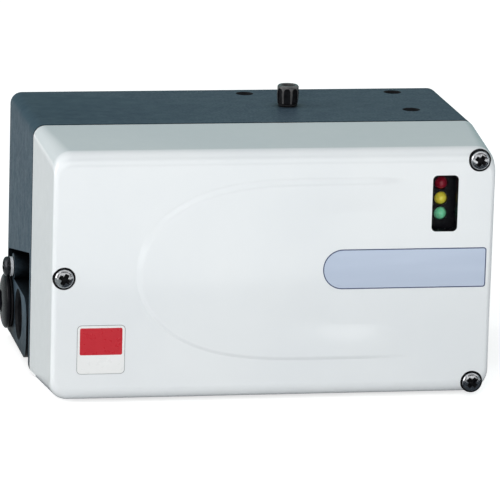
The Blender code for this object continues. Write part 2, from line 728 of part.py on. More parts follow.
def add_inner_bosses(body):
    """Bosses and posts that are cast with the housing."""
    rear = INNER_REAR_Y + REAR_WALL / 2
    for place in COVER_SCREWS.values():
        radius = SCREW_RADIUS + GAP + SCREW_BOSS_WALL
        join(body, rod("Y", place, radius, JOINT_Y, JOINT_Y + SCREW_BOSS_LENGTH))
    for place in TOP_HOLES:
        low = HEIGHT - TAPPED_DEPTH - TAPPED_WALL
        join(body, rod("Z", place, TAPPED_RADIUS + TAPPED_WALL, low, HEIGHT - HOUSING_WALL / 2))
    for place in rear_tapped_places():
        start = REAR_Y - TAPPED_DEPTH - TAPPED_WALL
        join(body, rod("Y", place, TAPPED_RADIUS + TAPPED_WALL, start, rear))
    for place in BOARD_POSTS:
        join(body, rod("Y", place, POST_RADIUS, BOARD_REAR_Y + GAP, rear, COARSE_SIDES))
    add_board_lug(body)
    for place in sensor_posts():
        join(body, rod("Y", place, POST_RADIUS, BRACKET_Y + GAP, rear, COARSE_SIDES))
    for z in PORTS.values():
        start = RIGHT - PORT_BOSS_LENGTH
        join(body, rod("X", (PORT_Y, z), PORT_BOSS_RADIUS, start, RIGHT - HOUSING_WALL / 2))
    start = REAR_Y - SHAFT_BOSS_INSIDE
    end = REAR_Y + SHAFT_BOSS_OUTSIDE
    join(body, rod("Y", (SHAFT_X, SHAFT_Z), SHAFT_BOSS_RADIUS, start, end, FINE_SIDES))


def add_board_lug(body):
    """Round-ended lug from the upper screw boss to the end of the board's arm."""
    x, z = BOARD_LUG
    start = BOARD_REAR_Y + GAP
    end = start + BOARD_LUG_THICKNESS
    boss_x = COVER_SCREWS["cover_screw_upper"][0]
    join(body, block((x, start, z - POST_RADIUS), (boss_x, end, z + POST_RADIUS)))
    join(body, rod("Y", (x, z), POST_RADIUS, start, end))


def drill_housing(body):
    """Every hole that is machined in the casting."""
    for place in COVER_SCREWS.values():
        end = JOINT_Y + SCREW_GRIP + 4 * GAP
        cut(body, rod("Y", place, SCREW_RADIUS + GAP, JOINT_Y - OVERCUT, end, COARSE_SIDES))
    for place in TOP_HOLES:
        cut(body, rod("Z", place, TAPPED_RADIUS, HEIGHT - TAPPED_DEPTH, HEIGHT + OVERCUT, COARSE_SIDES))
    for place in rear_tapped_places():
        cut(body, rod("Y", place, TAPPED_RADIUS, REAR_Y - TAPPED_DEPTH, REAR_Y + OVERCUT, COARSE_SIDES))
    cut(body, conduit_hole(CONDUIT_FRONT_Y), conduit_hole(CONDUIT_FRONT_Y + CONDUIT_PITCH))
    end = LEFT + GROUND_SCREW_LENGTH + 2 * GAP
    cut(body, rod("X", (GROUND_Y, GROUND_Z), GROUND_SCREW_RADIUS + GAP, LEFT - OVERCUT, end, COARSE_SIDES))
    for z in PORTS.values():
        floor = RIGHT - PORT_DEPTH
        cut(body, rod("X", (PORT_Y, z), PORT_RADIUS, floor, RIGHT + OVERCUT))
        start = RIGHT - PORT_BOSS_LENGTH - OVERCUT
        cut(body, rod("X", (PORT_Y, z), PORT_PASSAGE_RADIUS, start, floor + OVERCUT, COARSE_SIDES))
    start = HEIGHT - HOUSING_WALL - OVERCUT
    cut(body, rod("Z", (VENT_X, VENT_Y), VENT_SHANK_RADIUS + GAP, start, HEIGHT + OVERCUT, COARSE_SIDES))
    start = REAR_Y - SHAFT_BOSS_INSIDE - OVERCUT
    end = REAR_Y + SHAFT_BOSS_OUTSIDE + OVERCUT
    cut(body, rod("Y", (SHAFT_X, SHAFT_Z), bush_bore(), start, end))
    seat = REAR_Y + SHAFT_BOSS_OUTSIDE - SEAL_THICKNESS - 2 * GAP
    cut(body, rod("Y", (SHAFT_X, SHAFT_Z), SHAFT_RADIUS + SEAL_WALL + 2 * GAP, seat, end))


def cover_gasket():
    """Flat rubber frame between the housing and the cover."""
    low = (LEFT + GASKET_INSET, GASKET_INSET)
    high = (RIGHT - GASKET_INSET, HEIGHT - GASKET_INSET)
    start = JOINT_Y - GAP - GASKET_THICKNESS
    end = JOINT_Y - GAP
    frame = prism(rounded_rectangle(low, high, EDGE_RADIUS - GASKET_INSET), "Y", start, end)
    low = (low[0] + GASKET_WIDTH, low[1] + GASKET_WIDTH)
    high = (high[0] - GASKET_WIDTH, high[1] - GASKET_WIDTH)
    opening = rounded_rectangle(low, high, EDGE_RADIUS / 4, 3)
    cut(frame, prism(opening, "Y", start - OVERCUT, end + OVERCUT))
    return finished("cover_gasket", frame, "seal_rubber")


def rounding(radius, depth):
    """How far a rounded edge has moved in at a depth behind the front face."""
    rest = radius - min(depth, radius)
    return radius - math.sqrt(radius ** 2 - rest ** 2)


def rounding_depths(low_radius, high_radius):
    """Depths behind the front face of the stations in the rounded edges, deepest first."""
    depths = []
    for i in range(ROUNDING_STEPS):
        depths.append(high_radius + (low_radius - high_radius) * i / ROUNDING_STEPS)
    for i in range(ROUNDING_STEPS + 1):
        depths.append(low_radius * (1 - math.sin(math.pi / 2 * i / ROUNDING_STEPS)))
    return depths


def cover_form(offset):
    """Solid inside the cover's skin, moved inwards by an offset."""
    slope = COVER_DRAFT / (RIM_Y - FRONT_Y)
    face_y = FRONT_Y + offset
    high_radius = COVER_ROUNDING - offset
    side_radius = max(SIDE_ROUNDING - offset, MM)
    outlines = []
    distances = []

    def station(depth):
        y = face_y + depth
        inset = offset + slope * (RIM_Y - min(y, RIM_Y))
        across = inset + rounding(side_radius, depth)
        upright = inset + rounding(high_radius, depth)
        share = (RIM_Y - min(y, RIM_Y)) / (RIM_Y - FRONT_Y)
        corner = EDGE_RADIUS + (COVER_CORNER - EDGE_RADIUS) * share - offset - rounding(side_radius, depth)
        low = (LEFT + across, upright)
        high = (RIGHT - across, HEIGHT - upright)
        outlines.append(rounded_rectangle(low, high, corner))
        distances.append(y)

    if offset:
        station(RIM_Y + OVERCUT - face_y)
    for i in range(SIDE_STEPS):
        start = RIM_Y - face_y
        station(start + (high_radius - start) * i / SIDE_STEPS)
    for depth in rounding_depths(side_radius, high_radius):
        station(depth)
    return lofted(outlines, "Y", distances)


def relief_form():
    """Low raised form on the cover's face: a round end that fades out to the right."""
    centre_x = LEFT + RELIEF_APEX + RELIEF_LENGTH
    end_x = centre_x + RELIEF_RUN_OUT
    low_z = RELIEF_BOTTOM
    high_z = HEIGHT - RELIEF_TOP
    outline = [(end_x, low_z), (end_x, high_z)]
    for i in range(RELIEF_STEPS + 1):
        angle = math.pi / 2 - math.pi * i / RELIEF_STEPS
        reach = RELIEF_LENGTH * math.cos(angle) ** RELIEF_POWER
        outline.append((centre_x - reach, (low_z + high_z + (high_z - low_z) * math.sin(angle)) / 2))
    made = prism(outline, "Y", FRONT_Y - RELIEF_HEIGHT, FRONT_Y + COVER_WALL / 2)
    apex_x = LEFT + RELIEF_APEX
    fade_x = (centre_x + end_x) / 2
    for vertex in made.data.vertices:
        if vertex.co.y < FRONT_Y:
            share = (vertex.co.x - apex_x) / (fade_x - apex_x)
            vertex.co.y = FRONT_Y - RELIEF_HEIGHT * (1.0 - share)
    return made


def window_outline(margin, corner):
    low = (WINDOW_X - WINDOW_WIDTH / 2 - margin, WINDOW_Z - WINDOW_HEIGHT / 2 - margin)
    high = (WINDOW_X + WINDOW_WIDTH / 2 + margin, WINDOW_Z + WINDOW_HEIGHT / 2 + margin)
    return rounded_rectangle(low, high, corner, 4)


def cover(parent):
    """Drafted cast cover with its screw tubes, window and raised form."""
    shell = cover_form(0.0)
    cut(shell, cover_form(COVER_WALL))
    join(shell, relief_form())
    for place in COVER_SCREWS.values():
        radius = SCREW_RADIUS + GAP + SCREW_TUBE_WALL
        tube = rod("Y", place, radius, FRONT_Y, RIM_Y)
        join(shell, keep_inside(tube, cover_form(COVER_WALL / 2)))
    pocket_margin = WINDOW_LEDGE + GAP
    collar_margin = pocket_margin + COLLAR_WALL
    floor = FRONT_Y + PANE_SETBACK
    collar_end = PANE_Y + PANE_THICKNESS
    collar = window_outline(collar_margin, WINDOW_CORNER + collar_margin)
    join(shell, prism(collar, "Y", FRONT_Y + COVER_WALL / 2, collar_end))
    pocket = window_outline(pocket_margin, WINDOW_CORNER)
    cut(shell, prism(pocket, "Y", floor, collar_end + OVERCUT))
    cut(shell, prism(window_outline(0.0, WINDOW_CORNER), "Y", FRONT_Y - OVERCUT, floor + OVERCUT))
    for place in COVER_SCREWS.values():
        seat = FRONT_Y + SCREW_SEAT_DEPTH
        cut(shell, rod("Y", place, SCREW_SEAT_RADIUS, FRONT_Y - 2 * OVERCUT, seat, FINE_SIDES))
        cut(shell, rod("Y", place, SCREW_RADIUS + GAP, seat - OVERCUT, RIM_Y + OVERCUT, COARSE_SIDES))
    return finished("cover", shell, "cover_paint", parent)


def status_window(parent):
    """Clear pane that rests on the ledge behind the cover's opening."""
    pane = prism(window_outline(WINDOW_LEDGE, WINDOW_CORNER), "Y", PANE_Y, PANE_Y + PANE_THICKNESS)
    return finished("status_window", pane, "window_pane", parent)


def cross_recess(axis, centre, start, end):
    """Cutter of a cross recess."""
    u, v = centre
    across = [
        (u - RECESS_ARM, v - RECESS_WIDTH / 2), (u + RECESS_ARM, v - RECESS_WIDTH / 2),
        (u + RECESS_ARM, v + RECESS_WIDTH / 2), (u - RECESS_ARM, v + RECESS_WIDTH / 2),
    ]
    upright = [(u + y, v + x) for x, y in [(p - u, q - v) for p, q in across]]
    return join(prism(across, axis, start, end), prism(upright, axis, start, end))


def pan_head_profile(radius, head_radius, head_height, head_start, tip):
    """Profile of a pan head screw; the head grows from head_start away from the tip."""
    side = 1.0 if tip < head_start else -1.0
    profile = [(0.0, head_start + side * head_height)]
    for across, height in PAN_HEAD:
        profile.append((head_radius * across, head_start + side * head_height * height))
    profile += [
        (head_radius, head_start),
        (radius, head_start),
        (radius, tip + side * radius * TIP_LENGTH),
        (radius * TIP_RADIUS, tip),
        (0.0, tip),
    ]
    return profile


def cover_screw(name, place, parent):
    """Captive pan head screw that reaches from the cover's face into the housing."""
    head_start = FRONT_Y + SCREW_SEAT_DEPTH - GAP
    tip = JOINT_Y + SCREW_GRIP
    profile = pan_head_profile(SCREW_RADIUS, SCREW_HEAD_RADIUS, SCREW_HEAD_HEIGHT, head_start, tip)
    screw = turned(profile, "Y", place, MEDIUM_SIDES)
    top = head_start - SCREW_HEAD_HEIGHT
    cut(screw, cross_recess("Y", place, top - OVERCUT, top + RECESS_DEPTH))
    return finished(name, screw, "bright_steel", parent)


def vent_flute(base, top, angle):
    """Cutter of one flute: flat, with a round upper end."""
    half = VENT_FLUTE_WIDTH / 2
    spring = top - VENT_FLUTE_TOP - half
    outline = [(-half, base - OVERCUT), (half, base - OVERCUT)]
    outline += arc((0.0, spring), half, 0.0, math.pi, ARCH_STEPS)
    made = prism(outline, "X", VENT_FLUTE_FLOOR, 2 * VENT_RADIUS)
    turn = Matrix.Rotation(VENT_TURN + angle, 4, "Z")
    made.data.transform(Matrix.Translation((VENT_X, VENT_Y, 0.0)) @ turn)
    return made


def vent_cap():
    """Fluted breather cap, bored from above, with a shank into the housing."""
    base = HEIGHT + 2 * GAP + VENT_SEAL_THICKNESS
    top = base + VENT_HEIGHT
    place = (VENT_X, VENT_Y)
    profile = [
        (0.0, base), (VENT_RADIUS, base), (VENT_RADIUS + VENT_SWELL, (base + top) / 2),
        (VENT_RADIUS, top - VENT_RIM), (VENT_RADIUS - VENT_RIM, top), (0.0, top),
    ]
    body = turned(profile, "Z", place, MEDIUM_SIDES)
    for i in range(VENT_FLUTES):
        cut(body, vent_flute(base, top, 2 * math.pi * i / VENT_FLUTES))
    join(body, rod("Z", place, VENT_SHANK_RADIUS, HEIGHT - HOUSING_WALL, base + OVERCUT, COARSE_SIDES))
    cut(body, rod("Z", place, VENT_BORE_RADIUS, top - VENT_BORE_DEPTH, top + OVERCUT))
    return finished("vent_cap", body, "black_plastic")


def vent_seal():
    start = HEIGHT + GAP
    end = start + VENT_SEAL_THICKNESS
    made = ring("Z", (VENT_X, VENT_Y), VENT_SHANK_RADIUS + GAP, VENT_FLUTE_FLOOR, start, end)
    return finished("vent_seal", made, "seal_rubber")


def conduit_plug():
    """Domed blanking plug with a hexagon socket and a hollow shank."""
    place = (CONDUIT_FRONT_Y + CONDUIT_PITCH, CONDUIT_Z)
    flange = LEFT - 2 * GAP - PLUG_SEAL_THICKNESS
    face = flange - PLUG_FLANGE_THICKNESS
    end = flange + PLUG_SHANK_LENGTH
    shank = CONDUIT_RADIUS - GAP
    hollow = flange + PLUG_SOCKET_DEPTH
    profile = [(0.0, face)]
    for across, height in PLUG_DOME:
        profile.append((PLUG_FLANGE_RADIUS * across, face + PLUG_FLANGE_THICKNESS * height))
    profile += [
        (PLUG_FLANGE_RADIUS, flange), (shank, flange), (shank, end), (shank - PLUG_WALL, end),
        (shank - PLUG_WALL, hollow), (0.0, hollow),
    ]
    plug = turned(profile, "X", place, FINE_SIDES)
    cut(plug, prism(hexagon(place, 2 * PLUG_SOCKET_RADIUS), "X", face - OVERCUT, face + PLUG_SOCKET_DEPTH))
    return finished("conduit_plug", plug, "black_plastic")


def conduit_plug_seal():
    place = (CONDUIT_FRONT_Y + CONDUIT_PITCH, CONDUIT_Z)
    start = LEFT - GAP - PLUG_SEAL_THICKNESS
    made = ring("X", place, CONDUIT_RADIUS, PLUG_FLANGE_RADIUS - GAP, start, LEFT - GAP, FINE_SIDES)
    return finished("conduit_plug_seal", made, "seal_rubber")


def ground_screw():
    """Pan head screw on the outside ground pad."""
    head_start = LEFT - 2 * GAP - GROUND_WASHER_THICKNESS
    tip = LEFT + GROUND_SCREW_LENGTH
    place = (GROUND_Y, GROUND_Z)
    profile = pan_head_profile(GROUND_SCREW_RADIUS, GROUND_HEAD_RADIUS, GROUND_HEAD_HEIGHT, head_start, tip)
    screw = turned(profile, "X", place, MEDIUM_SIDES)
    top = head_start - GROUND_HEAD_HEIGHT
    cut(screw, cross_recess("X", place, top - OVERCUT, top + RECESS_DEPTH))
    return finished("ground_screw", screw, "dark_steel")


def ground_washer():
    start = LEFT - GAP - GROUND_WASHER_THICKNESS
    place = (GROUND_Y, GROUND_Z)
    made = ring("X", place, GROUND_SCREW_RADIUS + GAP, GROUND_WASHER_RADIUS, start, LEFT - GAP)
    return finished("ground_washer", made, "bright_steel")


def shaft_ring_y():
    """Start of the retaining ring, in front of the front bush."""
    return REAR_Y - SHAFT_BOSS_INSIDE - 2 * GAP - BUSH_FLANGE_THICKNESS - RING_THICKNESS


def feedback_shaft(parent):
    """Turned shaft with a ring groove, a collar outside and two driving flats."""
    collar_start = REAR_Y + SHAFT_BOSS_OUTSIDE + GAP
    collar_end = collar_start + SHAFT_COLLAR_LENGTH
    groove = shaft_ring_y() - GAP
    tip = REAR_Y + SHAFT_OUTSIDE
    groove_end = groove + RING_THICKNESS + 2 * GAP
    edge = EDGE_BREAK
    profile = [
        (0.0, SHAFT_END_Y), (SHAFT_RADIUS - edge, SHAFT_END_Y), (SHAFT_RADIUS, SHAFT_END_Y + edge),
        (SHAFT_RADIUS, groove), (SHAFT_GROOVE_RADIUS, groove),
        (SHAFT_GROOVE_RADIUS, groove_end), (SHAFT_RADIUS, groove_end),
        (SHAFT_RADIUS, collar_start), (SHAFT_COLLAR_RADIUS, collar_start), (SHAFT_COLLAR_RADIUS, collar_end),
        (SHAFT_RADIUS, collar_end), (SHAFT_RADIUS, tip - 2 * edge), (SHAFT_RADIUS - 2 * edge, tip),
        (0.0, tip),
    ]
    shaft = turned(profile, "Y", (SHAFT_X, SHAFT_Z), MEDIUM_SIDES)
    for side in (-1, 1):
        low = SHAFT_X + side * SHAFT_FLAT
        high = SHAFT_X + side * 2 * SHAFT_RADIUS
        flat = block(
            (min(low, high), collar_end + GAP, SHAFT_Z - SHAFT_RADIUS - OVERCUT),
            (max(low, high), tip + OVERCUT, SHAFT_Z + SHAFT_RADIUS + OVERCUT),
        )
        cut(shaft, flat)
    return finished("feedback_shaft", shaft, "bright_steel", parent)


def shaft_bush(name, start, flanged):
    """Bronze bush in the shaft boss."""
    inner = SHAFT_RADIUS + GAP
    outer = inner + BUSH_WALL
    end = start + BUSH_LENGTH
    profile = [(inner, start), (outer, start), (outer, end), (inner, end)]
    if flanged:
        seat = start + BUSH_FLANGE_THICKNESS
        profile = [(inner, start), (outer + BUSH_FLANGE, start), (outer + BUSH_FLANGE, seat), (outer, seat)]
        profile += [(outer, end), (inner, end)]
    made = turned(profile, "Y", (SHAFT_X, SHAFT_Z), MEDIUM_SIDES)
    return finished(name, made, "bronze")


def shaft_bushes():
    front = REAR_Y - SHAFT_BOSS_INSIDE - GAP - BUSH_FLANGE_THICKNESS
    shaft_bush("shaft_bush_front", front, True)
    seat = REAR_Y + SHAFT_BOSS_OUTSIDE - SEAL_THICKNESS - 2 * GAP
    shaft_bush("shaft_bush_rear", seat - BUSH_LENGTH - GAP, False)


def shaft_seal():
    """Lip seal in the counterbore of the spigot."""
    start = REAR_Y + SHAFT_BOSS_OUTSIDE - SEAL_THICKNESS - GAP
    end = start + SEAL_THICKNESS
    inner = SHAFT_RADIUS + GAP
    outer = SHAFT_RADIUS + SEAL_WALL + GAP
    profile = [
        (inner, start), (outer, start), (outer, end), (outer - SEAL_WALL / 4, end),
        (outer - SEAL_WALL / 2, end - SEAL_THICKNESS / 2), (inner + SEAL_WALL / 5, end), (inner, end),
    ]
    return finished("shaft_seal", turned(profile, "Y", (SHAFT_X, SHAFT_Z), MEDIUM_SIDES), "seal_rubber")


def shaft_retaining_ring(parent):
    """Open spring ring in the shaft's groove."""
    start = shaft_ring_y()
    inner = SHAFT_GROOVE_RADIUS + GAP
    made = ring("Y", (SHAFT_X, SHAFT_Z), inner, inner + RING_WALL, start, start + RING_THICKNESS)
    mouth = block(
        (SHAFT_X - RING_MOUTH / 2, start - OVERCUT, SHAFT_Z - inner - RING_WALL - OVERCUT),
        (SHAFT_X + RING_MOUTH / 2, start + RING_THICKNESS + OVERCUT, SHAFT_Z),
    )
    return finished("shaft_retaining_ring", cut(made, mouth), "bright_steel", parent)


def shaft_nut_and_washer(parent):
    """Washer and nut that clamp a follower arm against the collar."""
    place = (SHAFT_X, SHAFT_Z)
    start = REAR_Y + SHAFT_BOSS_OUTSIDE + SHAFT_COLLAR_LENGTH + 2 * GAP
    washer = ring("Y", place, SHAFT_RADIUS + GAP, LOCK_WASHER_RADIUS, start, start + LOCK_WASHER_THICKNESS)
    finished("shaft_lock_washer", washer, "bright_steel", parent)
    start += LOCK_WASHER_THICKNESS + GAP
    end = start + NUT_THICKNESS
    nut = prism(hexagon(place, NUT_FLATS), "Y", start, end)
    corner = corner_radius(NUT_FLATS)
    chamfer = corner - NUT_FLATS / 2
    trim = [
        (0.0, start), (NUT_FLATS / 2, start), (corner, start + chamfer / 2), (corner, end - chamfer / 2),
        (NUT_FLATS / 2, end), (0.0, end),
    ]
    keep_inside(nut, turned(trim, "Y", place, FINE_SIDES))
    cut(nut, rod("Y", place, SHAFT_RADIUS + GAP, start - OVERCUT, end + OVERCUT))
    finished("shaft_nut", nut, "bright_steel", parent)


def tooth_flank(base, root, tip):
    """Points of an involute flank from the root circle to the tip, as (radius, angle)."""
    start = max(base, root)
    points = [(root, 0.0)] if base > root else []
    for i in range(FLANK_STEPS + 1):
        radius = start + (tip - start) * i / FLANK_STEPS
        pressure = math.acos(base / radius)
        points.append((radius, math.tan(pressure) - pressure))
    return points


def gear_tooth(teeth, middle):
    """Outline of one involute tooth around a middle angle, as (radius, angle)."""
    pitch = GEAR_MODULE * teeth / 2
    base = pitch * math.cos(PRESSURE_ANGLE)
    half = math.pi / (2 * teeth) - BACKLASH / (2 * pitch) + math.tan(PRESSURE_ANGLE) - PRESSURE_ANGLE
    flank = tooth_flank(base, pitch - ROOT_DEPTH * GEAR_MODULE, pitch + GEAR_MODULE)
    rising = [(radius, middle - half + turn) for radius, turn in flank]
    falling = [(radius, middle + half - turn) for radius, turn in reversed(flank)]
    return rising + falling


def gear_outline(teeth, numbers):
    """Points of a run of teeth around the origin; tooth 0 points along the first axis."""
    points = []
    for number in numbers:
        for radius, angle in gear_tooth(teeth, number * 2 * math.pi / teeth):
            points.append((radius * math.cos(angle), radius * math.sin(angle)))
    return points


def sector_gear(parent):
    """Toothed sector on a hub, its middle tooth facing the sensor."""
    reach = int(SECTOR_HALF_ANGLE * SECTOR_TEETH / (2 * math.pi))
    outline = [(0.0, 0.0)] + gear_outline(SECTOR_TEETH, range(-reach, reach + 1))
    outline = [(SHAFT_X - u, SHAFT_Z + v) for u, v in outline]
    end = GEAR_Y + GEAR_THICKNESS
    place = (SHAFT_X, SHAFT_Z)
    gear = prism(outline, "Y", GEAR_Y, end)
    join(gear, rod("Y", place, GEAR_HUB_RADIUS, GEAR_Y, end + GEAR_HUB_LENGTH))
    middle = (GEAR_HUB_RADIUS + SECTOR_PITCH_RADIUS - ROOT_DEPTH * GEAR_MODULE) / 2
    for step in (-2, -1, 0, 1, 2):
        angle = math.pi + step * GEAR_WINDOW_PITCH
        spot = (SHAFT_X + middle * math.cos(angle), SHAFT_Z + middle * math.sin(angle))
        cut(gear, rod("Y", spot, GEAR_WINDOW_RADIUS, GEAR_Y - OVERCUT, end + OVERCUT, COARSE_SIDES))
    cut(gear, rod("Y", place, SHAFT_RADIUS + GAP, GEAR_Y - OVERCUT, end + GEAR_HUB_LENGTH + OVERCUT))
    return finished("sector_gear", gear, "white_nylon", parent)


def sensor_pinion(parent):
    """Small wheel on the sensor's shaft, a tooth gap facing the sector's middle tooth."""
    place = (SENSOR_X, SHAFT_Z)
    teeth = gear_outline(PINION_TEETH, [number + 0.5 for number in range(PINION_TEETH)])
    outline = [(place[0] + u, place[1] + v) for u, v in teeth]
    start = GEAR_Y - PINION_EXTRA
    end = GEAR_Y + GEAR_THICKNESS + PINION_EXTRA
    pinion = prism(outline, "Y", start, end)
    bore = SENSOR_SHAFT_RADIUS + GAP
    cut(pinion, rod("Y", place, bore, start - OVERCUT, end + OVERCUT, COARSE_SIDES))
    return finished("sensor_pinion", pinion, "white_nylon", parent)


def sensor_shaft(parent):
    start = BRACKET_Y - BRACKET_THICKNESS - SENSOR_LENGTH / 2
    end = GEAR_Y + GEAR_THICKNESS + 2 * PINION_EXTRA
    edge = EDGE_BREAK
    profile = [
        (0.0, start), (SENSOR_SHAFT_RADIUS, start), (SENSOR_SHAFT_RADIUS, end - edge),
        (SENSOR_SHAFT_RADIUS - edge, end), (0.0, end),
    ]
    made = turned(profile, "Y", (SENSOR_X, SHAFT_Z), COARSE_SIDES)
    return finished("sensor_shaft", made, "bright_steel", parent)


def position_sensor():
    """Round sensor body in front of the bracket, bored for its shaft, with its lead-out block."""
    back = BRACKET_Y - BRACKET_THICKNESS - GAP
    front = back - SENSOR_LENGTH
    place = (SENSOR_X, SHAFT_Z)
    profile = [
        (0.0, front), (SENSOR_RADIUS - BODY_EDGE, front), (SENSOR_RADIUS, front + BODY_EDGE),
        (SENSOR_RADIUS, back), (0.0, back),
    ]
    body = turned(profile, "Y", place, MEDIUM_SIDES)
    half = SENSOR_LEADS_WIDTH / 2
    leads_back = back - SENSOR_LEADS_BACK
    low = (SENSOR_X - half, leads_back - SENSOR_LEADS_DEPTH, SHAFT_Z - SENSOR_RADIUS - SENSOR_LEADS_DROP)
    join(body, block(low, (SENSOR_X + half, leads_back, SHAFT_Z)))
    join(body, rod("Y", place, SENSOR_BUSH_RADIUS, back - OVERCUT, BRACKET_Y + BRACKET_THICKNESS))
    start = BRACKET_Y - BRACKET_THICKNESS - SENSOR_LENGTH / 2 - GAP
    cut(body, rod("Y", place, SENSOR_SHAFT_RADIUS + GAP, start, BRACKET_Y + BRACKET_CLEARANCE, COARSE_SIDES))
    return finished("position_sensor", body, "black_plastic")


def sensor_bracket():
    """Flat plate on two posts."""
    half_height = BRACKET_POST_PITCH / 2 + BRACKET_MARGIN
    low = (SENSOR_X - BRACKET_WIDTH / 2, SHAFT_Z - half_height)
    high = (SENSOR_X + BRACKET_WIDTH / 2, SHAFT_Z + half_height)
    start = BRACKET_Y - BRACKET_THICKNESS
    plate = prism(rounded_rectangle(low, high, BRACKET_MARGIN), "Y", start, BRACKET_Y)
    hole = SENSOR_BUSH_RADIUS + GAP
    cut(plate, rod("Y", (SENSOR_X, SHAFT_Z), hole, start - OVERCUT, BRACKET_Y + OVERCUT))
    return finished("sensor_bracket", plate, "bright_steel")


def main_board():
    """L-shaped circuit board on four posts and a lug."""
    left = LEFT + BOARD_LEFT
    top = HEIGHT - BOARD_EDGE_Z
    break_x = RIGHT - BOARD_BREAK
    tall = rounded_rectangle((left, BOARD_EDGE_Z), (break_x, top), BOARD_CORNER, 3)
    arm_low = (break_x - 4 * BOARD_CORNER, top - BOARD_ARM_HEIGHT)
    arm = rounded_rectangle(arm_low, (RIGHT - BOARD_RIGHT, top), BOARD_CORNER, 3)
    board = prism(tall, "Y", BOARD_FRONT_Y, BOARD_REAR_Y)
    join(board, prism(arm, "Y", BOARD_FRONT_Y, BOARD_REAR_Y))
    return finished("main_board", board, "circuit_board")


def terminal_corners():
    """Low and high corner of the terminal block as seen from the front."""
    low = (LEFT + TERMINAL_X, TERMINAL_Z)
    return low, (low[0] + TERMINAL_WAYS * TERMINAL_PITCH + 2 * TERMINAL_END, TERMINAL_Z + TERMINAL_DEPTH)


def dip_corners():
    """Low and high corner of the setting switch as seen from the front."""
    half = DIP_WAYS * DIP_PITCH / 2 + DIP_END
    return (DIP_X - half, CONTROL_Z - DIP_DEPTH / 2), (DIP_X + half, CONTROL_Z + DIP_DEPTH / 2)


def board_shield():
    """Moulded tray over the board, open where the controls and terminals are."""
    front = SHIELD_FRONT_Y
    shield = prism(rounded_rectangle(SHIELD_LOW, SHIELD_HIGH, SHIELD_CORNER), "Y", front, BOARD_SEAT_Y)
    low = (SHIELD_LOW[0] + SHIELD_WALL, SHIELD_LOW[1] + SHIELD_WALL)
    high = (SHIELD_HIGH[0] - SHIELD_WALL, SHIELD_HIGH[1] - SHIELD_WALL)
    inside = rounded_rectangle(low, high, SHIELD_CORNER - SHIELD_WALL)
    cut(shield, prism(inside, "Y", front + SHIELD_WALL, BOARD_SEAT_Y + OVERCUT))
    size = SELECTOR_SIZE / 2
    selector = (SELECTOR_X, CONTROL_Z)
    selector_corners = ((selector[0] - size, selector[1] - size), (selector[0] + size, selector[1] + size))
    for low, high in (terminal_corners(), dip_corners(), selector_corners):
        low = (low[0] - CUTOUT_MARGIN, low[1] - CUTOUT_MARGIN)
        high = (high[0] + CUTOUT_MARGIN, high[1] + CUTOUT_MARGIN)
        opening = rounded_rectangle(low, high, CUTOUT_MARGIN, 3)
        cut(shield, prism(opening, "Y", front - OVERCUT, front + SHIELD_WALL + OVERCUT))
    for place in BUTTONS.values():
        cut(shield, rod("Y", place, BUTTON_RADIUS + 2 * GAP, front - OVERCUT, front + SHIELD_WALL + OVERCUT))
    return finished("board_shield", shield, "black_plastic")


def terminal_block():
    """Stepped screw terminal strip with a wire entry and a screw well for each way."""
    (x0, z0), (x1, z1) = terminal_corners()
    front = BOARD_SEAT_Y - TERMINAL_HEIGHT
    step = front + TERMINAL_STEP
    outline = [
        (BOARD_SEAT_Y, z0), (BOARD_SEAT_Y, z1), (front, z1), (front, z0 + TERMINAL_STEP + TERMINAL_ENTRY / 2),
        (step, z0 + TERMINAL_ENTRY / 2), (step, z0),
    ]
    made = prism(outline, "X", x0, x1)
    for way in range(TERMINAL_WAYS):
        x = x0 + TERMINAL_END + (way + 0.5) * TERMINAL_PITCH
        z = z1 - TERMINAL_STEP / 2 - TERMINAL_SCREW_RADIUS / 2
        well = front + TERMINAL_STEP
        cut(made, rod("Y", (x, z), TERMINAL_SCREW_RADIUS, front - OVERCUT, well, COARSE_SIDES))
        half = TERMINAL_ENTRY / 2
        entry_y = (step + BOARD_SEAT_Y) / 2
        entry = block(
            (x - half, entry_y - half, z0 - OVERCUT), (x + half, entry_y + half, z0 + TERMINAL_ENTRY_DEPTH),
        )
        cut(made, entry)
    return finished("terminal_block", made, "terminal_plastic")


def dip_places():
    """Centre of each switch slot, from left to right."""
    first = DIP_X - (DIP_WAYS - 1) * DIP_PITCH / 2
    return [first + way * DIP_PITCH for way in range(DIP_WAYS)]


def dip_switch_body():
    (x0, z0), (x1, z1) = dip_corners()
    front = BOARD_SEAT_Y - DIP_HEIGHT
    body = block((x0, front, z0), (x1, BOARD_SEAT_Y, z1))
    for x in dip_places():
        half = DIP_SLOT_WIDTH / 2
        slot = block(
            (x - half, front - OVERCUT, CONTROL_Z - DIP_SLOT_LENGTH / 2),
            (x + half, front + DIP_SLOT_DEPTH, CONTROL_Z + DIP_SLOT_LENGTH / 2),
        )
        cut(body, slot)
    return finished("dip_switch_body", body, "switch_plastic")


def dip_sliders():
    """One small slider in each slot, at the lower end of its travel."""
    front = BOARD_SEAT_Y - DIP_HEIGHT
    half = DIP_SLOT_WIDTH / 2 - GAP / 2
    low = CONTROL_Z - DIP_SLOT_LENGTH / 2 + GAP
    high = CONTROL_Z + DIP_SLOT_LENGTH / 2 - GAP - DIP_TRAVEL
    heel = front + DIP_SLOT_DEPTH - GAP
    tip = front - DIP_KNOB_PROUD
    taper = DIP_KNOB_PROUD / 4
    for number, x in enumerate(dip_places(), start=1):
        base = pivot(f"dip_slide_{number}", (x, front, low))
        knob = [(front, high), (tip, high - taper), (tip, low + taper), (front, low)]
        outline = [(heel, low), (heel, high)] + knob
        slider = prism(outline, "X", x - half, x + half)
        finished(f"dip_slider_{number}", slider, "white_nylon", base)


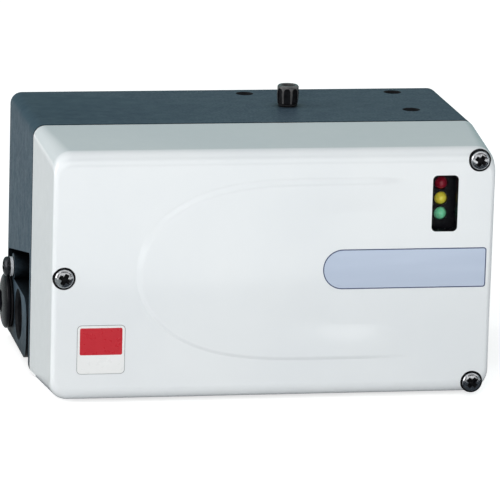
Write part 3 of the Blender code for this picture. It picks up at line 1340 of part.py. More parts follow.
def gain_selector():
    """Square switch body with a slotted rotor."""
    x = SELECTOR_X
    half = SELECTOR_SIZE / 2
    front = BOARD_SEAT_Y - SELECTOR_HEIGHT
    place = (x, CONTROL_Z)
    low = (x - half, CONTROL_Z - half)
    high = (x + half, CONTROL_Z + half)
    body = prism(rounded_rectangle(low, high, half / 6, 2), "Y", front, BOARD_SEAT_Y)
    well = front + SELECTOR_ROTOR_DEPTH
    cut(body, rod("Y", place, SELECTOR_ROTOR_RADIUS + GAP, front - OVERCUT, well))
    finished("gain_selector_body", body, "switch_plastic")
    base = pivot("gain_selector_pivot", (x, front, CONTROL_Z))
    tip = front - SELECTOR_ROTOR_PROUD
    rotor = rod("Y", place, SELECTOR_ROTOR_RADIUS, tip, well - GAP)
    slot = block(
        (x - SELECTOR_SLOT / 2, tip - OVERCUT, CONTROL_Z - SELECTOR_ROTOR_RADIUS - OVERCUT),
        (x + SELECTOR_SLOT / 2, tip + SELECTOR_ROTOR_PROUD / 2, CONTROL_Z + SELECTOR_ROTOR_RADIUS + OVERCUT),
    )
    cut(rotor, slot)
    mark_z = CONTROL_Z + SELECTOR_ROTOR_RADIUS
    mark = [
        (x - SELECTOR_POINTER, mark_z), (x + SELECTOR_POINTER, mark_z), (x, mark_z - SELECTOR_POINTER_LENGTH),
    ]
    cut(rotor, prism(mark, "Y", tip - OVERCUT, tip + SELECTOR_ROTOR_PROUD / 4))
    finished("gain_selector_rotor", rotor, "white_nylon", base)


def push_buttons():
    """Each button is a switch body on the board and a cap that stands through the shield."""
    for name, (x, z) in BUTTONS.items():
        half = BUTTON_BODY / 2
        top = BOARD_SEAT_Y - BUTTON_BODY_HEIGHT
        outline = rounded_rectangle((x - half, z - half), (x + half, z + half), half / 5, 2)
        body = prism(outline, "Y", top, BOARD_SEAT_Y)
        well = top + BUTTON_PLUNGER_DEPTH + BUTTON_TRAVEL + GAP
        cut(body, rod("Y", (x, z), BUTTON_PLUNGER_RADIUS + GAP, top - OVERCUT, well, COARSE_SIDES))
        finished(f"{name}_switch", body, "black_plastic")
        base = pivot(f"{name}_slide", (x, top, z))
        face = SHIELD_FRONT_Y - BUTTON_PROUD
        heel = top - BUTTON_TRAVEL - GAP
        edge = EDGE_BREAK
        profile = [
            (0.0, face), (BUTTON_RADIUS - edge, face), (BUTTON_RADIUS, face + edge), (BUTTON_RADIUS, heel),
            (BUTTON_PLUNGER_RADIUS, heel), (BUTTON_PLUNGER_RADIUS, top + BUTTON_PLUNGER_DEPTH),
            (0.0, top + BUTTON_PLUNGER_DEPTH),
        ]
        finished(f"{name}_button", turned(profile, "Y", (x, z), COARSE_SIDES), "white_nylon", base)


def lamp_holder():
    """Hollow tower that carries the lamps from the board up to the window."""
    outline = window_outline(HOLDER_MARGIN, WINDOW_CORNER)
    tower = prism(outline, "Y", HOLDER_Y, BOARD_SEAT_Y)
    inside = window_outline(HOLDER_MARGIN - HOLDER_WALL, WINDOW_CORNER)
    shelf = HOLDER_Y + LAMP_LENGTH + HOLDER_WALL
    cut(tower, prism(inside, "Y", shelf, BOARD_SEAT_Y + OVERCUT))
    for z in LAMPS.values():
        rim_start = HOLDER_Y + LAMP_LENGTH - LAMP_RIM_THICKNESS - GAP
        inner = LAMP_RADIUS + GAP
        outer = inner + LAMP_RIM
        bore = [
            (0.0, HOLDER_Y - OVERCUT), (inner, HOLDER_Y - OVERCUT), (inner, rim_start),
            (outer, rim_start), (outer, shelf + OVERCUT), (0.0, shelf + OVERCUT),
        ]
        cut(tower, turned(bore, "Y", (LAMP_X, z), COARSE_SIDES))
    return finished("lamp_holder", tower, "black_plastic")


def lamps():
    """Domed lamps with a rim, seated in the holder."""
    for name, z in LAMPS.items():
        back = HOLDER_Y + LAMP_LENGTH
        dome = LAMP_TIP_Y + LAMP_RADIUS
        profile = [(0.0, LAMP_TIP_Y)]
        for i in range(1, 6):
            angle = math.pi / 2 * i / 5
            profile.append((LAMP_RADIUS * math.sin(angle), dome - LAMP_RADIUS * math.cos(angle)))
        rim = back - LAMP_RIM_THICKNESS
        profile += [
            (LAMP_RADIUS, rim), (LAMP_RADIUS + LAMP_RIM, rim), (LAMP_RADIUS + LAMP_RIM, back), (0.0, back),
        ]
        lamp = turned(profile, "Y", (LAMP_X, z), MEDIUM_SIDES)
        finished(name, lamp, name.replace("lamp_", "") + "_lens")


def port_screens():
    """Wire screens at the bottom of the air ports."""
    start = RIGHT - PORT_DEPTH + GAP
    for name, z in PORTS.items():
        made = rod("X", (PORT_Y, z), PORT_RADIUS - GAP, start, start + SCREEN_THICKNESS)
        finished(f"{name}_screen", made, "wire_mesh")


def air_manifold():
    """Drilled block that joins the ports to the modules."""
    low = (MANIFOLD_LEFT, MANIFOLD_FRONT_Y)
    high = (MANIFOLD_X, PORT_Y + MANIFOLD_REAR)
    outline = rounded_rectangle(low, high, MANIFOLD_CHAMFER, 1)
    made = prism(outline, "Z", MANIFOLD_LOW, MANIFOLD_HIGH)
    for z in PORTS.values():
        start = MANIFOLD_X - MANIFOLD_PASSAGE_DEPTH
        cut(made, rod("X", (PORT_Y, z), PORT_PASSAGE_RADIUS, start, MANIFOLD_X + OVERCUT, COARSE_SIDES))
    return finished("air_manifold", made, "machined_aluminium")


def spool_centre_y():
    return (MODULE_FRONT_Y + MANIFOLD_FRONT_Y - GAP) / 2


def spool_valve_body():
    """Block on the manifold, bored from above for the spool."""
    low = (MANIFOLD_LEFT + DRIVER_MARGIN, MODULE_FRONT_Y, DRIVER_LOW)
    high = (MANIFOLD_X - DRIVER_MARGIN, MANIFOLD_FRONT_Y - GAP, DRIVER_HIGH)
    body = block(low, high)
    place = (MODULE_X, spool_centre_y())
    cut(body, rod("Z", place, SPOOL_BORE_RADIUS, DRIVER_LOW + SPOOL_FLOOR, DRIVER_HIGH + OVERCUT))
    return finished("spool_valve_body", body, "machined_aluminium")


def valve_spool():
    """Spool with three lands, free to shift both ways."""
    low = DRIVER_LOW + SPOOL_FLOOR + SPOOL_TRAVEL + GAP
    high = DRIVER_HIGH - SPOOL_TRAVEL
    place = (MODULE_X, spool_centre_y())
    base = pivot("valve_spool_slide", (place[0], place[1], low))
    span = (high - low) / (2 * SPOOL_LANDS - 1)
    profile = [(0.0, low)]
    for land in range(SPOOL_LANDS):
        start = low + 2 * land * span
        profile += [(SPOOL_LAND_RADIUS, start), (SPOOL_LAND_RADIUS, start + span)]
        if land < SPOOL_LANDS - 1:
            profile += [(SPOOL_WAIST_RADIUS, start + span), (SPOOL_WAIST_RADIUS, start + 2 * span)]
    profile.append((0.0, high))
    return finished("valve_spool", turned(profile, "Z", place, MEDIUM_SIDES), "bright_steel", base)


def spool_end_cap():
    low = (MANIFOLD_LEFT + DRIVER_MARGIN, MODULE_FRONT_Y)
    high = (MANIFOLD_X - DRIVER_MARGIN, MANIFOLD_FRONT_Y - GAP)
    start = DRIVER_HIGH + GAP
    made = prism(rounded_rectangle(low, high, DRIVER_MARGIN, 3), "Z", start, start + CAP_THICKNESS)
    return finished("spool_end_cap", made, "black_plastic")


def pressure_converter():
    """Round converter of current to pressure, flanged to the manifold."""
    place = (MODULE_X, CONVERTER_Z)
    back = MANIFOLD_FRONT_Y - GAP
    seat = back - CONVERTER_FLANGE_THICKNESS
    front = MODULE_FRONT_Y
    step = front + CONVERTER_FLANGE_THICKNESS
    profile = [
        (0.0, front), (CONVERTER_NECK, front), (CONVERTER_NECK, step), (CONVERTER_RADIUS - BODY_EDGE, step),
        (CONVERTER_RADIUS, step + BODY_EDGE), (CONVERTER_RADIUS, seat), (CONVERTER_FLANGE, seat),
        (CONVERTER_FLANGE, back), (0.0, back),
    ]
    return finished("pressure_converter", turned(profile, "Y", place, MEDIUM_SIDES), "black_plastic")


def pressure_regulator():
    """Small regulator on the manifold's left side."""
    place = (PORT_Y, PORTS["output_2"])
    back = MANIFOLD_LEFT - GAP
    front = back - REGULATOR_LENGTH
    neck = front + REGULATOR_NUT_LENGTH
    profile = [
        (0.0, front), (REGULATOR_NUT_RADIUS, front), (REGULATOR_NUT_RADIUS, neck),
        (REGULATOR_RADIUS - BODY_EDGE, neck), (REGULATOR_RADIUS, neck + BODY_EDGE), (REGULATOR_RADIUS, back),
        (0.0, back),
    ]
    return finished("pressure_regulator", turned(profile, "X", place, MEDIUM_SIDES), "machined_aluminium")


def pressure_sensor_board():
    """Small board with two pressure cans on the manifold's left side."""
    x_back = MANIFOLD_LEFT - GAP
    x_front = x_back - SENSOR_BOARD_THICKNESS
    low_z = PORTS["supply"] - PORT_RADIUS
    high_z = PORTS["output_1"] + PORT_RADIUS
    low = (x_front, MANIFOLD_FRONT_Y + DRIVER_MARGIN, low_z)
    high = (x_back, PORT_Y + MANIFOLD_REAR - DRIVER_MARGIN, high_z)
    board = block(low, high)
    start = x_front - PRESSURE_CAN_HEIGHT
    end = x_front + SENSOR_BOARD_THICKNESS / 2
    for z in (PORTS["supply"], PORTS["output_1"]):
        join(board, rod("X", (PORT_Y, z), PRESSURE_CAN_RADIUS, start, end, COARSE_SIDES))
    return finished("pressure_sensor_board", board, "circuit_board")


def build_cover_group():
    """Everything that comes away with the cover."""
    base = pivot("cover_slide", (0.0, RIM_Y, HEIGHT / 2))
    cover(base)
    status_window(base)
    for name, place in COVER_SCREWS.items():
        cover_screw(name, place, base)


def build_shaft_group():
    """Everything that turns with the feedback shaft, and what carries it."""
    base = pivot("feedback_shaft_pivot", (SHAFT_X, REAR_Y, SHAFT_Z))
    feedback_shaft(base)
    shaft_retaining_ring(base)
    shaft_nut_and_washer(base)
    sector_gear(base)
    shaft_bushes()
    shaft_seal()


def build_sensor_group():
    base = pivot("sensor_pivot", (SENSOR_X, BRACKET_Y, SHAFT_Z))
    sensor_shaft(base)
    sensor_pinion(base)
    position_sensor()
    sensor_bracket()


def build_electronics():
    main_board()
    board_shield()
    terminal_block()
    dip_switch_body()
    dip_sliders()
    gain_selector()
    push_buttons()
    lamp_holder()
    lamps()


def build_air_parts():
    port_screens()
    air_manifold()
    spool_valve_body()
    valve_spool()
    spool_end_cap()
    pressure_converter()
    pressure_regulator()
    pressure_sensor_board()


def main():
    clear_scene()
    housing()
    cover_gasket()
    vent_cap()
    vent_seal()
    conduit_plug()
    conduit_plug_seal()
    ground_screw()
    ground_washer()
    build_cover_group()
    build_shaft_group()
    build_sensor_group()
    build_electronics()
    build_air_parts()


main()
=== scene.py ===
"""Looks of the valve positioner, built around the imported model.

Lengths are in millimetres, +Z up, the cover faces -Y; along() and soften() turn them into Blender's metres.
Places come from the frame; finishes and fine forms are made here.
"""

import json
import math
from collections import namedtuple

import bmesh
import bpy
from mathutils import Matrix, Vector

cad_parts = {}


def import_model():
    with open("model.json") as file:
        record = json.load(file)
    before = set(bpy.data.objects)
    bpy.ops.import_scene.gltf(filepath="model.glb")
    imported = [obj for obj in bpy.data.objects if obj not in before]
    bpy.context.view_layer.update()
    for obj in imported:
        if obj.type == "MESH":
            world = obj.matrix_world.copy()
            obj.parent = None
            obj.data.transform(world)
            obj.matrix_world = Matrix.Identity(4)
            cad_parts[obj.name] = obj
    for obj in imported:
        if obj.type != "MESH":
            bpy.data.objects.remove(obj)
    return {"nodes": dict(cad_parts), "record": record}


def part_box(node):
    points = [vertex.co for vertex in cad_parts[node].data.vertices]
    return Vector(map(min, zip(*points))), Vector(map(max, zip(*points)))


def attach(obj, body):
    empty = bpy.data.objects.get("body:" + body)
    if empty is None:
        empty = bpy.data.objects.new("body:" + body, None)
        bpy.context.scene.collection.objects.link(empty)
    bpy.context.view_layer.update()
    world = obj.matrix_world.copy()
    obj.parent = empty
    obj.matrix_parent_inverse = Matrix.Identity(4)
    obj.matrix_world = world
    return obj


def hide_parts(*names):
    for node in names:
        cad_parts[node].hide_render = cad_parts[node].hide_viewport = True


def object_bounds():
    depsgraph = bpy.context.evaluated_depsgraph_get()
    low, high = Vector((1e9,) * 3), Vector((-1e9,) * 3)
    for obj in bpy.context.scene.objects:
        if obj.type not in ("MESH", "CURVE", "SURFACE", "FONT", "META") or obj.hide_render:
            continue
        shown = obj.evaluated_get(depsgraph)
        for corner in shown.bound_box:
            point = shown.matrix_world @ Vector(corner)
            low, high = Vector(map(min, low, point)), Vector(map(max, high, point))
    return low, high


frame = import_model()
CAD_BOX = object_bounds()

MM = 0.001
FULL_TURN = 2 * math.pi
QUARTER_TURN = math.pi / 2
SLOTS = {row["node"]: row["material_slot"] for row in frame["record"]["subparts"]}
Corner = namedtuple("Corner", "x y z")


def box(node):
    """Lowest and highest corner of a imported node, in millimetres."""
    return [Corner(*(value / MM for value in corner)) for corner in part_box(node)]


def centre_of(node, axis):
    """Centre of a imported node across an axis."""
    x, y, z = ((low + high) / 2 for low, high in zip(*box(node)))
    return {"X": (y, z), "Y": (x, z), "Z": (x, y)}[axis]


# Housing and cover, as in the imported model
HOUSING_LOW, HOUSING_HIGH = box("housing")
LEFT, RIGHT = HOUSING_LOW.x, HOUSING_HIGH.x
JOINT_Y, SPIGOT_END = HOUSING_LOW.y, HOUSING_HIGH.y
TOP = box("cover")[1].z
RIM_Y = box("cover")[1].y
REAR_Y = SPIGOT_END - 4.0
GAP = 0.3
OVERCUT = 1.0
HOUSING_WALL = 4.0
REAR_WALL = 6.0
EDGE_RADIUS = 5.0
REAR_ROUNDING = 3.0
CAST_EDGE = 0.5
JOINT_EDGE = 0.2
MACHINED_EDGE = 0.3

# Cover
COVER_WALL = 3.0
FRONT_Y = JOINT_Y - 50.0
COVER_DRAFT = 2.0
COVER_ROUNDING = 6.0
SIDE_ROUNDING = 2.0
COVER_CORNER = 8.0
RIB_WIDTH = 1.8
RIB_HEIGHT = 3.2
RELIEF_HEIGHT = 0.75
RELIEF_APEX = 36.0
RELIEF_LENGTH = 79.0
RELIEF_TOP = 12.8
RELIEF_BOTTOM = 17.4
RELIEF_END = 159.0
RELIEF_LOWER_SLOPE = 2.2
RELIEF_UPPER_SLOPE = 4.4

# Cover screws
SCREW_RADIUS = 2.0
SCREW_HEAD_RADIUS = 4.0
SCREW_HEAD_HEIGHT = 3.1
SCREW_SEAT_RADIUS = 4.8
SCREW_SEAT_DEPTH = 1.5
SCREW_TUBE_WALL = 2.4
SCREW_PITCH = 0.7
SCREW_GRIP = 14.0

# Facets
FINE_SIDES = 72
MEDIUM_SIDES = 48
SMALL_SIDES = 28


def to_object(name, bm):
    """Turn a bmesh into an object with its faces pointing out."""
    bmesh.ops.recalc_face_normals(bm, faces=bm.faces)
    mesh = bpy.data.meshes.new(name)
    bm.to_mesh(mesh)
    bm.free()
    made = bpy.data.objects.new(name, mesh)
    bpy.context.scene.collection.objects.link(made)
    return made


def along(axis, distance, u, v):
    """Point in metres at a distance along an axis, with u and v on the other two axes in X, Y, Z order."""
    place = {"X": (distance, u, v), "Y": (u, distance, v), "Z": (u, v, distance)}[axis]
    return Vector([value * MM for value in place])


def moved(made, place, turn=0.0, axis="Y"):
    """Turn a piece about an axis through the origin, then move the origin to a place."""
    matrix = Matrix.Translation([value * MM for value in place]) @ Matrix.Rotation(turn, 4, axis)
    made.data.transform(matrix)
    return made


def arc(centre, radius, start, end, steps):
    """Points on an arc, angles in radians, both ends included."""
    angles = [start + (end - start) * i / steps for i in range(steps + 1)]
    return [(centre[0] + radius * math.cos(angle), centre[1] + radius * math.sin(angle)) for angle in angles]


def circle(centre, radius, sides):
    """Outline of a circle."""
    return arc(centre, radius, 0.0, FULL_TURN * (1 - 1 / sides), sides - 1)


def quarter_turns(steps):
    """Angles from zero to a quarter turn."""
    return [QUARTER_TURN * i / steps for i in range(steps + 1)]


def bar(low, high):
    """Outline of a plain rectangle."""
    return [(low[0], low[1]), (high[0], low[1]), (high[0], high[1]), (low[0], high[1])]


def rounded_rectangle(low, high, radius, steps=10):
    """Outline of a rectangle with round corners."""
    corners = bar((low[0] + radius, low[1] + radius), (high[0] - radius, high[1] - radius))
    points = []
    for i in range(4):
        points += arc(corners[(2 + i) % 4], radius, QUARTER_TURN * i, QUARTER_TURN * i + QUARTER_TURN, steps)
    return points


def filleted(points, radius, steps=3, closed=False):
    """Round the corners of a line of points; a corner takes less than half of its shorter side."""
    made = []
    for i, point in enumerate(points):
        if not closed and i in (0, len(points) - 1):
            made.append(point)
            continue
        here = Vector(point)
        before = Vector(points[i - 1]) - here
        after = Vector(points[(i + 1) % len(points)]) - here
        reach = min(radius, before.length * 0.45, after.length * 0.45)
        start = here + before.normalized() * reach
        end = here + after.normalized() * reach
        for step in range(steps + 1):
            t = step / steps
            made.append(tuple((1 - t) ** 2 * start + 2 * t * (1 - t) * here + t ** 2 * end))
    return made


def lofted(outlines, axis, distances, name="lofted"):
    """Skin through outlines of equal point count, closed at both ends."""
    bm = bmesh.new()
    rings = []
    for outline, distance in zip(outlines, distances):
        rings.append([bm.verts.new(along(axis, distance, u, v)) for u, v in outline])
    for first, second in zip(rings, rings[1:]):
        for i in range(len(first)):
            j = (i + 1) % len(first)
            bm.faces.new((first[i], first[j], second[j], second[i]))
    bm.faces.new(rings[0])
    bm.faces.new(rings[-1])
    return to_object(name, bm)


def prism(outline, axis, start, end):
    """Closed outline extruded along an axis."""
    return lofted([outline, outline], axis, [start, end])


def block(low, high):
    """Rectangular block between two corners."""
    return prism(bar(low, high), "Z", low[2], high[2])


def rod(axis, centre, radius, start, end, sides=MEDIUM_SIDES):
    """Round bar along an axis."""
    return prism(circle(centre, radius, sides), axis, start, end)


def turned(profile, axis, centre, sides=MEDIUM_SIDES):
    """Turned piece: profile points are (radius, distance along the axis)."""
    bm = bmesh.new()
    rings = []
    for radius, distance in profile:
        points = circle(centre, radius, sides) if radius > 1e-9 else [centre]
        rings.append([bm.verts.new(along(axis, distance, u, v)) for u, v in points])
    pairs = list(zip(rings, rings[1:]))
    if profile[0][0] > 1e-9:
        pairs.append((rings[-1], rings[0]))
    for first, second in pairs:
        for i in range(sides):
            j = (i + 1) % sides
            if len(first) == 1:
                bm.faces.new((first[0], second[i], second[j]))
            elif len(second) == 1:
                bm.faces.new((first[i], first[j], second[0]))
            else:
                bm.faces.new((first[i], first[j], second[j], second[i]))
    return to_object("turned", bm)


def steps_from(start, *points):
    """Profile points given as (radius, distance from a start)."""
    return [(radius, start + distance) for radius, distance in points]


def ring(axis, centre, inner, outer, start, end, edge=0.15, sides=MEDIUM_SIDES):
    """Flat ring or sleeve with soft edges."""
    profile = filleted([(inner, start), (outer, start), (outer, end), (inner, end)], edge, closed=True)
    return turned(profile, axis, centre, sides)


def hexagon(centre, flats):
    """Outline of a hexagon given across its flats."""
    return circle(centre, flats / (2 * math.cos(math.pi / 6)), 6)


def apply_modifiers(made):
    """Replace a piece's mesh by the mesh that its modifiers give."""
    bpy.context.view_layer.update()
    graph = bpy.context.evaluated_depsgraph_get()
    result = bpy.data.meshes.new_from_object(made.evaluated_get(graph))
    made.modifiers.clear()
    made.data = result
    return made


def boolean(target, tools, operation):
    """Apply exact Booleans to the target and remove the tools."""
    for tool in tools:
        modifier = target.modifiers.new(operation.lower(), "BOOLEAN")
        modifier.operation = operation
        modifier.solver = "EXACT"
        modifier.object = tool
        apply_modifiers(target)
        bpy.data.objects.remove(tool, do_unlink=True)
    return target


def cut(target, *tools):
    """Take tools away from a piece."""
    return boolean(target, tools, "DIFFERENCE")


def join(target, *tools):
    """Unite tools with a piece."""
    return boolean(target, tools, "UNION")


def keep_inside(target, *tools):
    """Keep what a piece shares with the tools."""
    return boolean(target, tools, "INTERSECT")


def drilled(target, axis, place, radius, start, end, sides=MEDIUM_SIDES):
    """Drill a plain round hole."""
    return cut(target, rod(axis, place, radius, start, end, sides))


def soften(made, width, steps=2, angle=35.0):
    """Round every edge sharper than an angle."""
    modifier = made.modifiers.new("edges", "BEVEL")
    modifier.width = width * MM
    modifier.segments = steps
    modifier.limit_method = "ANGLE"
    modifier.angle_limit = math.radians(angle)
    modifier.use_clamp_overlap = True
    return apply_modifiers(made)


def merged(name, made):
    """Put several pieces' meshes into one piece."""
    bm = bmesh.new()
    for piece in made:
        bm.from_mesh(piece.data)
        bpy.data.objects.remove(piece, do_unlink=True)
    mesh = bpy.data.meshes.new(name)
    bm.to_mesh(mesh)
    bm.free()
    whole = bpy.data.objects.new(name, mesh)
    bpy.context.scene.collection.objects.link(whole)
    return whole


def thread(axis, centre, radius, pitch, start, end, depth, inside=False, sides=SMALL_SIDES):
    """Helical ridge: a triangular thread that stands out from a bar, or in from a hole's wall."""
    bm = bmesh.new()
    turns = (end - start) / pitch
    count = max(int(turns * sides - 1e-6), 2)
    out = -1.0 if inside else 1.0
    root = radius - out * depth * 0.1
    crest = radius + out * depth
    rows = []
    for i in range(count + 1):
        angle = FULL_TURN * turns * i / count
        place = start + (end - start) * i / count
        fade = min(1.0, 4.0 * i / sides, 4.0 * (count - i) / sides)
        tip = root + (crest - root) * fade
        row = []
        for reach, shift in ((root, -0.42), (tip, -0.06), (tip, 0.06), (root, 0.42)):
            u = centre[0] + reach * math.cos(angle)
            v = centre[1] + reach * math.sin(angle)
            row.append(bm.verts.new(along(axis, place + shift * pitch, u, v)))
        rows.append(row)
    for first, second in zip(rows, rows[1:]):
        for k in range(4):
            m = (k + 1) % 4
            bm.faces.new((first[k], first[m], second[m], second[k]))
    bm.faces.new(rows[0])
    bm.faces.new(rows[-1])
    return to_object("thread", bm)


def coated(made, index, *names):
    """Give a piece finishes by name, with every face on one of them."""
    made.data.materials.clear()
    for name in names:
        made.data.materials.append(FINISHES[name])
    for face in made.data.polygons:
        face.material_index = index
    return made


def dress(made, name, finish, *nodes, body="base", slot=None, crease=38.0):
    """Name, shade and finish a piece that rides on a body, and hide the nodes that it replaces."""
    made.name = name
    made.data.name = name
    parts = [0] * len(made.data.polygons)
    if not isinstance(finish, str):
        made.data.polygons.foreach_get("material_index", parts)
    made.data.materials.clear()
    for part in (finish,) if isinstance(finish, str) else finish:
        made.data.materials.append(FINISHES[part])
    made.data.polygons.foreach_set("material_index", parts)
    made.data.shade_smooth()
    made.data.set_sharp_from_angle(angle=math.radians(crease))
    weighted = made.modifiers.new("weighted", "WEIGHTED_NORMAL")
    weighted.keep_sharp = True
    apply_modifiers(made)
    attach(made, body)
    slot = SLOTS[nodes[0]] if nodes else slot
    if nodes:
        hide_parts(*nodes)
    return made


def add_node(tree, kind, *inputs, **named):
    """New shader node: small names are its settings, and its inputs take values or other nodes' outputs."""
    node = tree.nodes.new("ShaderNode" + kind)
    taken = list(enumerate(inputs))
    for key, value in named.items():
        if key.islower():
            setattr(node, key, value)
        else:
            taken.append((key.replace("_", " "), value))
    for key, value in taken:
        if isinstance(value, bpy.types.NodeSocket):
            tree.links.new(value, node.inputs[key])
        else:
            node.inputs[key].default_value = value
    return node


FINISHES = {}


class Finish:
    """A procedural finish, kept by its name: a Principled shader with colour, roughness and bump detail."""

    def __init__(self, name, colour, roughness, metallic=0.0):
        self.material = bpy.data.materials.new(name)
        self.material.use_nodes = True
        self.tree = self.material.node_tree
        self.shader = self.tree.nodes["Principled BSDF"]
        self.colour = (*colour, 1.0)
        self.roughness = roughness
        self.coords = self.node("TexCoord").outputs["Object"]
        self.height = None
        self.material.diffuse_color = self.colour
        self.set(base_color=self.colour, roughness=roughness, metallic=metallic)
        FINISHES[name] = self.material

    def node(self, kind, *inputs, **named):
        """New node in this finish."""
        return add_node(self.tree, kind, *inputs, **named)

    def set(self, **values):
        """Set the shader's own sockets."""
        for key, value in values.items():
            self.shader.inputs[key.replace("_", " ").title().replace("Ior", "IOR")].default_value = value
        return self

    def noise(self, scale, detail=3.0, stretch=None):
        """Noise with features of about 1 / scale metres, stretched along the axes."""
        coords = self.coords
        if stretch:
            coords = self.node("Mapping", Vector=coords, Scale=stretch).outputs["Vector"]
        return self.node("TexNoise", Vector=coords, Scale=scale, Detail=detail).outputs["Fac"]

    def ramp(self, source, low, high, a=0.0, b=1.0):
        """Map a stretch of a value to another stretch."""
        node = self.node("MapRange", Value=source, From_Min=low, From_Max=high, To_Min=a, To_Max=b)
        return node.outputs["Result"]

    def tint(self, other, factor):
        """Mix the colour so far with another one."""
        socket = self.shader.inputs["Base Color"]
        before = socket.links[0].from_socket if socket.is_linked else self.colour
        mix = self.node("Mix", data_type="RGBA", Factor=factor, A=before, B=(*other, 1.0))
        self.tree.links.new(mix.outputs["Result"], socket)
        return self

    def mottle(self, other, scale, low=0.35, high=0.65, amount=1.0, stretch=None):
        """Vary the colour towards another one."""
        return self.tint(other, self.ramp(self.noise(scale, 3.0, stretch), low, high, 0.0, amount))

    def wear(self, other, width, amount):
        """Lighter or darker edges, from the shape's pointiness."""
        pointiness = self.node("NewGeometry").outputs["Pointiness"]
        edge = self.ramp(pointiness, 0.5 + width, 0.5 + 2.5 * width)
        broken = self.ramp(self.noise(900.0, 4.0), 0.42, 0.62, 0.0, amount)
        return self.tint(other, self.node("Math", edge, broken, operation="MULTIPLY").outputs[0])

    def cavity(self, dark, distance, low, high):
        """Painted shade: the colour turns near-black where ambient occlusion finds the shape hollow."""
        shade = self.node("AmbientOcclusion", samples=8, Distance=distance * MM)
        return self.tint(dark, self.ramp(shade.outputs["AO"], low, high, 1.0, 0.0))

    def uneven(self, spread, scale, stretch=None):
        """Vary the roughness."""
        ends = (self.roughness - spread, self.roughness + spread)
        value = self.ramp(self.noise(scale, 3.0, stretch), 0.3, 0.7, *ends)
        self.tree.links.new(value, self.shader.inputs["Roughness"])
        return self

    def grain(self, scale, depth, stretch=None):
        """Add a relief of a depth in millimetres."""
        node = self.node("Bump", Strength=1.0, Distance=depth * MM, Height=self.noise(scale, 2.0, stretch))
        if self.height:
            self.tree.links.new(self.height, node.inputs["Normal"])
        self.height = node.outputs["Normal"]
        self.tree.links.new(self.height, self.shader.inputs["Normal"])
        return self


